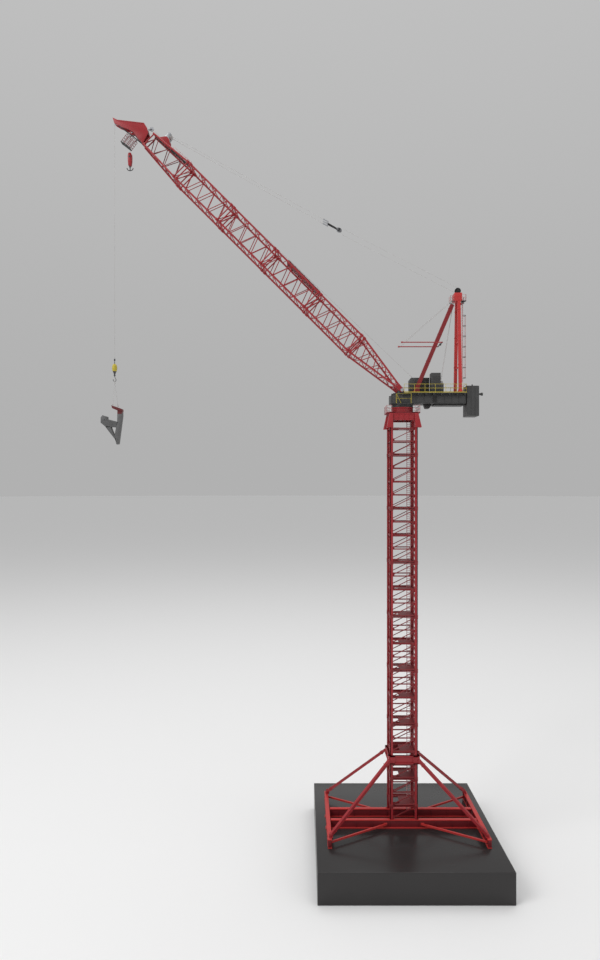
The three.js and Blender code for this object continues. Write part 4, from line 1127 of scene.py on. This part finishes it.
def makeJibTop():
    bm = bmesh.new()
    # the lacing takes the darker red: painted shade
    addLattice(bm, jib["neck"] + 0.3, jib["end"] - 0.3, 3, 4)
    addJibFrame(bm, jib["neck"] + 3.2, jib["frame"])
    addJibFrame(bm, jib["end"] - 2.6, jib["frame"])
    addPinLug(bm, jib["neck"] + 3.4)
    s, v = pendantPin["s"], pendantPin["v"]

    def ear(bm):
        outline = [(-580, 12.8), (-604, 11.8), (-602.5, 15.4), (-596, 24), (-594, 24.7), (-588.5, 24.3),
                   (-584, 20.5), (-580.4, 17)]
        addPlate(bm, outline, 7, 9, 0.2)
        link = addPlate(bm, [(-s + 4.6, 21), (-s - 2.8, 21), (-s - 2.6, v + 1.4), (-s - 1.2, v + 2.7),
                             (-s + 1.2, v + 2.7), (-s + 2.6, v + 1.4)], 7.3, 8.7, 0.15)
        tint(bm, link, 3)

    mirrored(bm, ear)
    addTube(bm, (-592, -9, 14), (-592, 9, 14), 1.2, 8)
    tint(bm, addTube(bm, (-s, -9.4, v), (-s, 9.4, v), 1.5, 16), 3)
    # grating between the two back chords
    walk = []
    for p in frange(534, 613, 2.2):
        back = 17.9 - (p - 532) * 0.067
        walk += addBlock(bm, (-p - 0.4, -5.8, back - 0.6), (-p + 0.4, 5.8, back + 0.5))
    for y in (-5.6, 0, 5.6):
        walk += addBar(bm, (-532, y, 17.9), (-614, y, 12.4), 1.2, 0.9, (0, 1, 0))
    tint(bm, walk, 1)
    rail = set(bm.verts)
    for y in (-6.2, 6.2):
        addTube(bm, (-534, y, 24), (-574, y, 21.3), 0.3, 6)
        for p in (534, 547, 560, 574):
            back = 17.9 - (p - 532) * 0.067
            addTube(bm, (-p, y, back - 0.6), (-p, y, back + 6.1), 0.3, 6)
    tint(bm, [v for v in bm.verts if v not in rail], 2)
    addTube(bm, (-533, -20, 17.7), (-533, 20, 17.7), 0.9, 8)
    finishPiece("jibTop", bm, ["craneRed", "blackPaint", "paleRail", "turnedSteel", "paintedShadeRed"], "jib",
                ["jib_top_section"], jibPlace)


casting = {"tip": (677.1, -18.0, 4.0), "main": (644.7, -12.6, 4.0)}


def makeJibHead():
    bm = bmesh.new()
    outline = [(616.3, -12.7), (622.6, 7.3), (630, 11.5), (640, 13.8), (677, -14.4), (686.5, -17.4),
               (677, -22.3), (667.4, -19.9),
               (651, -12.9), (642.3, -10.4), (629.2, -12.3)]

    def narrowed(verts):
        for v in verts:
            v.co.y -= math.copysign(max(0, (-v.co.x - 622) / 64) * 3.4, v.co.y)

    def skin(bm):
        narrowed(addPlate(bm, [(-s, v) for s, v in outline], 6.6, 8.0, 0.2))
        for a, b in (((640, 13.0), (677, -15.2)), ((618, -11.8), (629.6, -11.5)),
                     ((651.6, -12.2), (667.4, -19.2))):
            rib = addBar(bm, (-a[0], 7.6, a[1]), (-b[0], 7.6, b[1]), 1.3, 1.5, (0, 1, 0))
            narrowed(rib)
        ear = [(-637, -6), (-651, -8), (-647.6, -14.8), (-644.7, -15.8), (-641.8, -14.8)]
        addPlate(bm, ear, 1.9, 3.6, 0.2)

    mirrored(bm, skin)
    # back, belly and cross walls between the two skins, in the darkest red as painted shade seen from the open end
    inner = []
    for a, b, wide in (((623, 6.6), (630, 10.6), 13.6), ((630, 10.6), (640, 13.0), 13),
                       ((640, 12.9), (661, -3), 11.4), ((661, -3), (677, -15.2), 9),
                       ((617, -12), (629.2, -11.6), 13.6), ((629.2, -11.6), (642.3, -9.8), 12.6)):
        inner += addBar(bm, (-a[0], 0, a[1]), (-b[0], 0, b[1]), 0.9, wide, (0, 1, 0))
    for s, low, high, half in ((634, -10.6, 11, 6.4), (657, -13.6, -0.6, 4.2)):
        inner += addBlock(bm, (-s - 0.6, -half, low), (-s + 0.6, half, high))
    tint(bm, inner, 1)
    for s, v, _ in (casting["tip"], casting["main"]):
        for side in (-1, 1):
            hub = 4.6 if s > 660 else 3.2
            addTube(bm, (-s, side * (hub - 0.9), v), (-s, side * (hub + 0.3), v), 2.0, 16)
    finishPiece("jibHead", bm, ["craneRed", "deepRedAndPaintedShade"], "jib", ["jib_head"], jibPlace)


basket = {"s": 630.4, "v": -29.3, "tilt": 7.5, "wide": 10.1, "tall": 8.9, "near": -20, "far": -9.6}


def makeHeadBasket():
    wide, tall, near, far = (basket[k] for k in ("wide", "tall", "near", "far"))
    tilt = math.radians(basket["tilt"])

    def at(a, b, y):
        return (-(basket["s"] + a * math.cos(tilt) + b * math.sin(tilt)), y,
                basket["v"] - a * math.sin(tilt) + b * math.cos(tilt))

    bm = bmesh.new()
    addBar(bm, (-617, -9.1, -14.4), (-666.4, -9.1, -20.6), 1.5)
    addBar(bm, (-664, -9.1, -20.3), (-664, -7.2, -19.6), 1.3)
    addBar(bm, at(-wide, -8.1, -14.8), at(wide, -8.1, -14.8), 1.5, 10.4, (0, 1, 0))
    pale = set(bm.verts)
    for y in (near + 0.4, far - 0.4):
        for a in (-wide + 0.4, -3.4, 3.4, wide - 0.4):
            addTube(bm, at(a, -8, y), at(a, tall, y), 0.4, 6)
        for b in (tall - 0.5, 4.4, 0, -4.4):
            addTube(bm, at(-wide, b, y), at(wide, b, y), 0.36, 6)
    for a in (-wide + 0.4, wide - 0.4):
        for b in (tall - 0.5, 4.4, 0, -4.4):
            addTube(bm, at(a, b, near + 0.4), at(a, b, far - 0.4), 0.36, 6)
    # the rails take the darker red: painted shade
    tint(bm, [v for v in bm.verts if v not in pale], 1)
    for a in (-6, 6):
        addTube(bm, at(a, 8.2, -10), at(a, 13.6, -9.2), 0.6, 8)
    finishPiece("headBasket", bm, ["blackPaint", "paintedShadeRed"], "jib", ["head_basket"], jibPlace)


def addSheave(bm, centre, radius, half, hub, span, steps=40):
    groove = radius - 1.1
    web = radius * 0.62
    addSpun(bm, [(0, -span), (hub, -span), (hub, -half), (hub + 0.7, -half), (hub + 0.9, -half + 0.6), (web,
            -half + 0.6),
                 (web + 0.2, -half), (radius, -half), (groove, -0.35), (groove, 0.35), (radius, half),
                 (web + 0.2, half),
                 (web, half - 0.6), (hub + 0.9, half - 0.6), (hub + 0.7, half), (hub, half), (hub, span),
                 (0, span)], centre, "Y", steps)


def makeHeadSheaves():
    for name, body, node, spot in (("tipSheave", "tip_sheave", "tip_sheave", casting["tip"]),
                                   ("mainSheave", "main_lead", "main_sheave", casting["main"])):
        bm = bmesh.new()
        at = onJib(spot[0], spot[1])
        addSheave(bm, (at.x, 0, at.z), spot[2], 1.3, 1.2, 4.5)
        finishPiece(name, bm, "turnedSteel", body, [node])


def makeLeadSheave():
    at = onJib(628, 17.8)
    bm = bmesh.new()
    addSpun(bm, [(0, 3.4), (3.6, 3.4), (3.6, 3.8), (2.7, 4.1), (2.7, 4.5), (3.6, 4.8), (3.6, 5.2), (0, 5.2)],
            (at.x, 0, at.z), "Y", 32)
    foot = onJib(631, 12.4)
    for y in (2.6, 5.9):
        addBar(bm, (at.x, y, at.z), (foot.x, y, foot.z), 0.7, 2.2, (0, 1, 0))
    addTube(bm, (at.x, 2.2, at.z), (at.x, 6.4, at.z), 0.8, 12)
    finishPiece("leadSheave", bm, "turnedSteel", "jib", ["lead_sheave"])


def makeHoistRope():
    # runs just above the jib's back, from the lead sheave to the drum
    far, drum = onJib(628, 17.8), Vector((winch["x"] + 5.6, 15, winch["z"] + 5.8))
    ahead = (drum - far).normalized()
    bm = bmesh.new()
    addRope(bm, straight(far + ahead * 6, drum - ahead * 0.5, 60), 0.22, 6)
    piece = finishPiece("hoistRope", bm, "wireRope", None, ["hoist_rope"])
    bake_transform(piece)


makeJibFoot()
makeFootPin()
for n in range(4):
    makeJibSection(n)
makeJibTop()
makeJibHead()
makeHeadBasket()
makeHeadSheaves()
makeLeadSheave()
makeHoistRope()
print("jib ready")

# luffing tackle, shaped along the line from the pendant pin to the apex
pinAt = onJib(pendantPin["s"], pendantPin["v"])
apexAt = Vector((mast["apex"][0], 0, mast["apex"][1]))
blockAt = Vector((-109.2, 0, 1075.9))
tackleReach = (apexAt - blockAt).length


def placeAlong(a, b):
    return Matrix.Translation(a) @ Matrix.Rotation(math.atan2(a.z - b.z, b.x - a.x), 4, "Y")


pendantPlace = placeAlong(pinAt, blockAt)
tacklePlace = placeAlong(blockAt, apexAt)
tackle = {"block": (blockAt - pinAt).length, "fall": 4.75, "rope": 0.22}


def makeLuffRope():
    start, radius, reach = 6.4, tackle["fall"], tackleReach
    bm = bmesh.new()
    path = straight((start, 0, radius), (reach, 0, radius), 40)[:-1]
    path += [Vector(p) for p in bow((reach, 0), radius, 90, -90, 12)]
    path += straight((reach, 0, -radius), (start, 0, -radius), 40)[1:]
    addRope(bm, path, tackle["rope"], 6)
    piece = finishPiece("luffRope", bm, "wireRope", None, ["luff_rope"], tacklePlace)
    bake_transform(piece)


def makeApexSheave():
    bm = bmesh.new()
    addSheave(bm, (tackleReach, 0, 0), 5.3, 1.5, 1.6, 4.7)
    finishPiece("apexSheave", bm, "blackPaint", "luff_lead", ["apex_sheave"], tacklePlace)


def makeSpreader():
    t = tackle["block"]
    bm = bmesh.new()

    def cheek(bm):
        outline = [(t - 23, -1.0), (t - 5, -0.7), (t - 5, 0.7), (t - 23, 1.0)]
        tint(bm, addPlate(bm, outline, 2.1, 3.0, 0.15), 1)
        ring = [(t + 4.6 * math.cos(a), 2.5,
                 2.6 * math.sin(a)) for a in (math.tau * k / 24 for k in range(25))]
        tint(bm, addRope(bm, ring, 0.38, 6), 1)
        addBlock(bm, (t - 32, 9.8, -0.9), (t - 22, 11, 0.9), 0.3)
        addTube(bm, (t - 30, 9.2, 0), (t - 30, 11.6, 0), 1.1, 12)

    mirrored(bm, cheek)
    addBlock(bm, (t - 32, -0.6, -0.9), (t - 22, 0.6, 0.9), 0.3)
    addBlock(bm, (t - 23.6, -12, -1.1), (t - 21.8, 12, 1.1), 0.3)
    tint(bm, addTube(bm, (t, -4.2, 0), (t, 4.2, 0), 1.4, 16), 1)
    addSheave(bm, (t, 0, 0), 4.2, 1.0, 1.2, 1.8)
    for s in (t - 17, t - 10):
        tint(bm, addTube(bm, (s, -3, 0), (s, 3, 0), 0.7, 10), 1)
    finishPiece("spreaderBlock", bm, ["turnedSteel", "blackPaint"], "bridle", ["spreader"],
                pendantPlace)


def makePendants():
    t = tackle["block"]
    bm = bmesh.new()
    addSpun(bm, [(1.6, -6.3), (3.0, -6.3), (3.4, -5.9), (3.4, 5.9), (3.0, 6.3), (1.6, 6.3), (1.6, -6.3)],
            (0, 0, 0), "Y", 28)
    for side in (-1, 1):
        a, b = Vector((2.8, side * 5, 0)), Vector((t - 32.3, side * 10.4, 0))
        addRope(bm, straight(a, b, 6), tackle["rope"], 6)
        for end, way in ((a, b), (b, a)):
            addTube(bm, end, end + (way - end).normalized() * 6, 0.7, 10, 0.3)
    finishPiece("pendantLines", bm, "wireRope", "pendants", ["pendants"], pendantPlace)


makeLuffRope()
makeApexSheave()
makeSpreader()
makePendants()
print("luffing tackle ready")

# whip line, hooks and load
tipAt = onJib(*casting["tip"][:2])
mainAt = onJib(*casting["main"][:2])
whip = {"x": tipAt.x - 3.55, "top": tipAt.z - 6.8, "low": 853.3, "rope": 0.27}


def makeWhipLead():
    bm = bmesh.new()
    path = [Vector(p) for p in bow((tipAt.x, tipAt.z), 3.55, 110, 180, 8)]
    path += straight((whip["x"], 0, tipAt.z - 1), (whip["x"], 0, whip["top"] + 0.2), 3)
    addRope(bm, path, whip["rope"], 6)
    finishPiece("whipLead", bm, "wireRope", "whip_line", ["whip_lead"])


def makeWhipRope():
    bm = bmesh.new()
    addRope(bm, straight((whip["x"], 0, whip["top"]), (whip["x"], 0, whip["low"]), 80), whip["rope"], 6)
    piece = finishPiece("whipRope", bm, "wireRope", None, ["whip_rope"])
    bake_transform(piece)


def makeHookBall():
    bm = bmesh.new()
    x = whip["x"]
    stop = addSpun(bm, [(0, 849), (0.9, 849), (1.3, 849.6), (1.3, 852.4), (0.8, 853), (0, 853)], (x, 0, 0),
                   steps=20)
    tint(bm, stop, 1)
    addSpun(bm, [(0, 830.6), (2.9, 830.8), (3.7, 832), (4.2, 834.4), (4.3, 837), (4.0, 840), (3.0, 842.6),
                 (1.4, 843.8), (0, 843.9)],
            (x, 0, 0), steps=32)
    tint(bm, addSpun(bm, [(0, 843), (0.75, 843), (0.6, 846), (0.6, 848.4), (0, 848.4)], (x, 0, 0), steps=16),
         1)
    base = addSpun(bm, [(0, 826.8), (1.6, 826.8), (1.8, 828.4), (3.2, 830.2), (3.2, 831), (0, 831)],
                   (x, 0, 0), steps=28)
    tint(bm, base, 1)
    finishPiece("hookBall", bm, ["railYellow", "darkSteel"], "whip_ball", ["hook_ball"],
                smooth=50)


def addHook(bm, x, top, bottom, thick):
    radius = (top - bottom) * 0.24
    z = bottom + radius + thick
    path = [(x, 0, top), (x, 0, top - 1.6), (x + radius * 0.62, 0, z + radius * 0.9)]
    path += [(x + radius * math.cos(math.radians(a)), 0,
              z + radius * math.sin(math.radians(a))) for a in range(30, -211, -20)]
    addRope(bm, path, thick, 10)


def makeWhipHook():
    bm = bmesh.new()
    addTube(bm, (whip["x"], 0, 822.6), (whip["x"], 0, 826.5), 1.2, 20)
    addTube(bm, (whip["x"], 0, 823.4), (whip["x"], 0, 824.4), 1.7, 6)
    addHook(bm, whip["x"], 823.6, 813, 0.45)
    finishPiece("whipHook", bm, "darkSteel", "whip_hook", ["whip_hook"], smooth=60)


load = {"ring": 812.4, "x": whip["x"] + 0.3}


def makeSlings():
    bm = bmesh.new()
    x, z = load["x"], load["ring"]
    loop = [(x, 3.1 * math.cos(a), z + 3.1 * math.sin(a)) for a in (math.tau * n / 24 for n in range(24))]
    addRope(bm, loop + loop[:1], 0.4, 8)
    for side, x1, z1 in ((1, -493.4, 769.6), (-1, -500, 772)):
        a, b = Vector((x1, side * 5, z1 + 0.6)), Vector((x, side * 1.2, z - 3))
        addRope(bm, straight(b, a, 8), 0.24, 6)
        addTube(bm, (x1, side * 5, z1), (x1, side * 5, z1 + 1.6), 0.9, 12)
        addTube(bm, a, a + (b - a).normalized() * 4, 0.55, 8)
    finishPiece("loadSlings", bm, "wireRope", "load", ["load_slings"])


def makeLoad():
    bm = bmesh.new()
    dark = addPlate(bm, [(-502.2, 771.8), (-500.9, 766.6), (-492.6, 763), (-484.3, 762), (-484.3, 765.4)],
                    -7, 7, 0.3)
    dark += addPlate(bm, [(-492, 764), (-492.2, 757), (-484.1, 757), (-484.1, 764)], -5.15, 5.15, 0.1)
    tint(bm, dark, 1)
    addPlate(bm, [(-492.2, 763), (-492.7, 743.4), (-494.6, 733), (-497.2, 720), (-494, 704.2), (-490.3,
            704.8), (-483.9, 753.6), (-484.2, 763)],
             -5, 5, 0.35)
    addPlate(bm, [(-509.8, 747.9), (-509.8, 752.2), (-518.1, 754.8), (-521.1, 751), (-521.1, 741.6), (-511.1,
            733.4), (-500.9, 734.5),
                  (-494, 733.4), (-491, 743)], -5, 5, 0.35)
    addPlate(bm, [(-513, 735.6), (-511.8, 732.9), (-497.1, 713.9), (-493.4, 706.2), (-494.6, 714), (-498.6,
            721.4), (-504, 735.2)], -5, 5, 0.2)
    for side in (-1, 1):
        addPlate(bm, [(-519.6, 750.6), (-519.6, 743), (-512, 738), (-500, 738), (-500, 742), (-511, 745.6),
                      (-511.4, 750.6)],
                 *sorted((side * 4.8, side * 5.5)), 0.12)
        addTube(bm, (-515.6, side * 5, 747), (-515.6, side * 6.2, 747), 1.3, 14)
        for x, z in ((-488.2, 752), (-489.4, 741), (-491.4, 722), (-492.6, 712)):
            addTube(bm, (x, side * 4.8, z), (x, side * 5.4, z), 0.7, 6)
    finishPiece("hangingLoad", bm, ["loadGrey", "deepRedAndPaintedShade"], "load", ["load_bracket"])


mainLine = {"x": mainAt.x - 3.55, "low": 1209.6}


def makeMainRope():
    bm = bmesh.new()
    path = [Vector(p) for p in bow((mainAt.x, mainAt.z), 3.55, 60, 180, 12)]
    path += straight((mainLine["x"], 0, mainAt.z - 1), (mainLine["x"], 0, mainLine["low"]), 30)
    addRope(bm, path, 0.24, 6)
    piece = finishPiece("mainRope", bm, "wireRope", None, ["main_rope"])
    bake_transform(piece)


def makeMainBlock():
    bm = bmesh.new()

    def cheek(bm):
        outline = [(-1.9, 1209), (-3.2, 1206.4), (-3.5, 1202), (-3.4, 1195), (-2.5, 1187), (2.5, 1187),
                   (3.4, 1195), (3.5, 1202), (3.2, 1206.4), (1.9, 1209)]
        addPlate(bm, outline, 1.4, 3.3, 0.35)
        tint(bm, addTube(bm, (0, 3.2, 1202), (0, 3.9, 1202), 1.5, 14), 1)

    mirrored(bm, cheek)
    addBlock(bm, (-2.4, -1.7, 1187), (2.4, 1.7, 1195), 0.2)
    addBlock(bm, (-1.5, -1.6, 1206), (1.5, 1.6, 1209.2), 0.2)
    wheel = set(bm.verts)
    addTube(bm, (0, -1.2, 1202), (0, 1.2, 1202), 3.2, 24)
    tint(bm, [v for v in bm.verts if v not in wheel], 1)
    finishPiece("mainBlock", bm, ["craneRed", "darkSteel"], "main_block", ["main_block"],
                Matrix.Translation((mainLine["x"], 0, 0)))


def makeRamshorn():
    bm = bmesh.new()
    x = mainLine["x"]
    addTube(bm, (x, 0, 1179), (x, 0, 1186.7), 0.9, 20)
    addTube(bm, (x, 0, 1184.6), (x, 0, 1185.8), 1.8, 6)
    horn = [(-5.3, 1183.2), (-4.9, 1181.6), (-4.0, 1180.2), (-2.8, 1179.4), (-1.4, 1178.9), (0, 1178.8)]
    horn += [(-a, b) for a, b in reversed(horn[:-1])]
    addRope(bm, [(x + a, 0, b) for a, b in horn], 0.75, 10)
    finishPiece("ramshornHook", bm, "darkSteel", "ramshorn_hook", ["ramshorn_hook"], smooth=60)


makeWhipLead()
makeWhipRope()
makeHookBall()
makeWhipHook()
makeSlings()
makeLoad()
makeMainRope()
makeMainBlock()
makeRamshorn()
print("hooks and load ready")
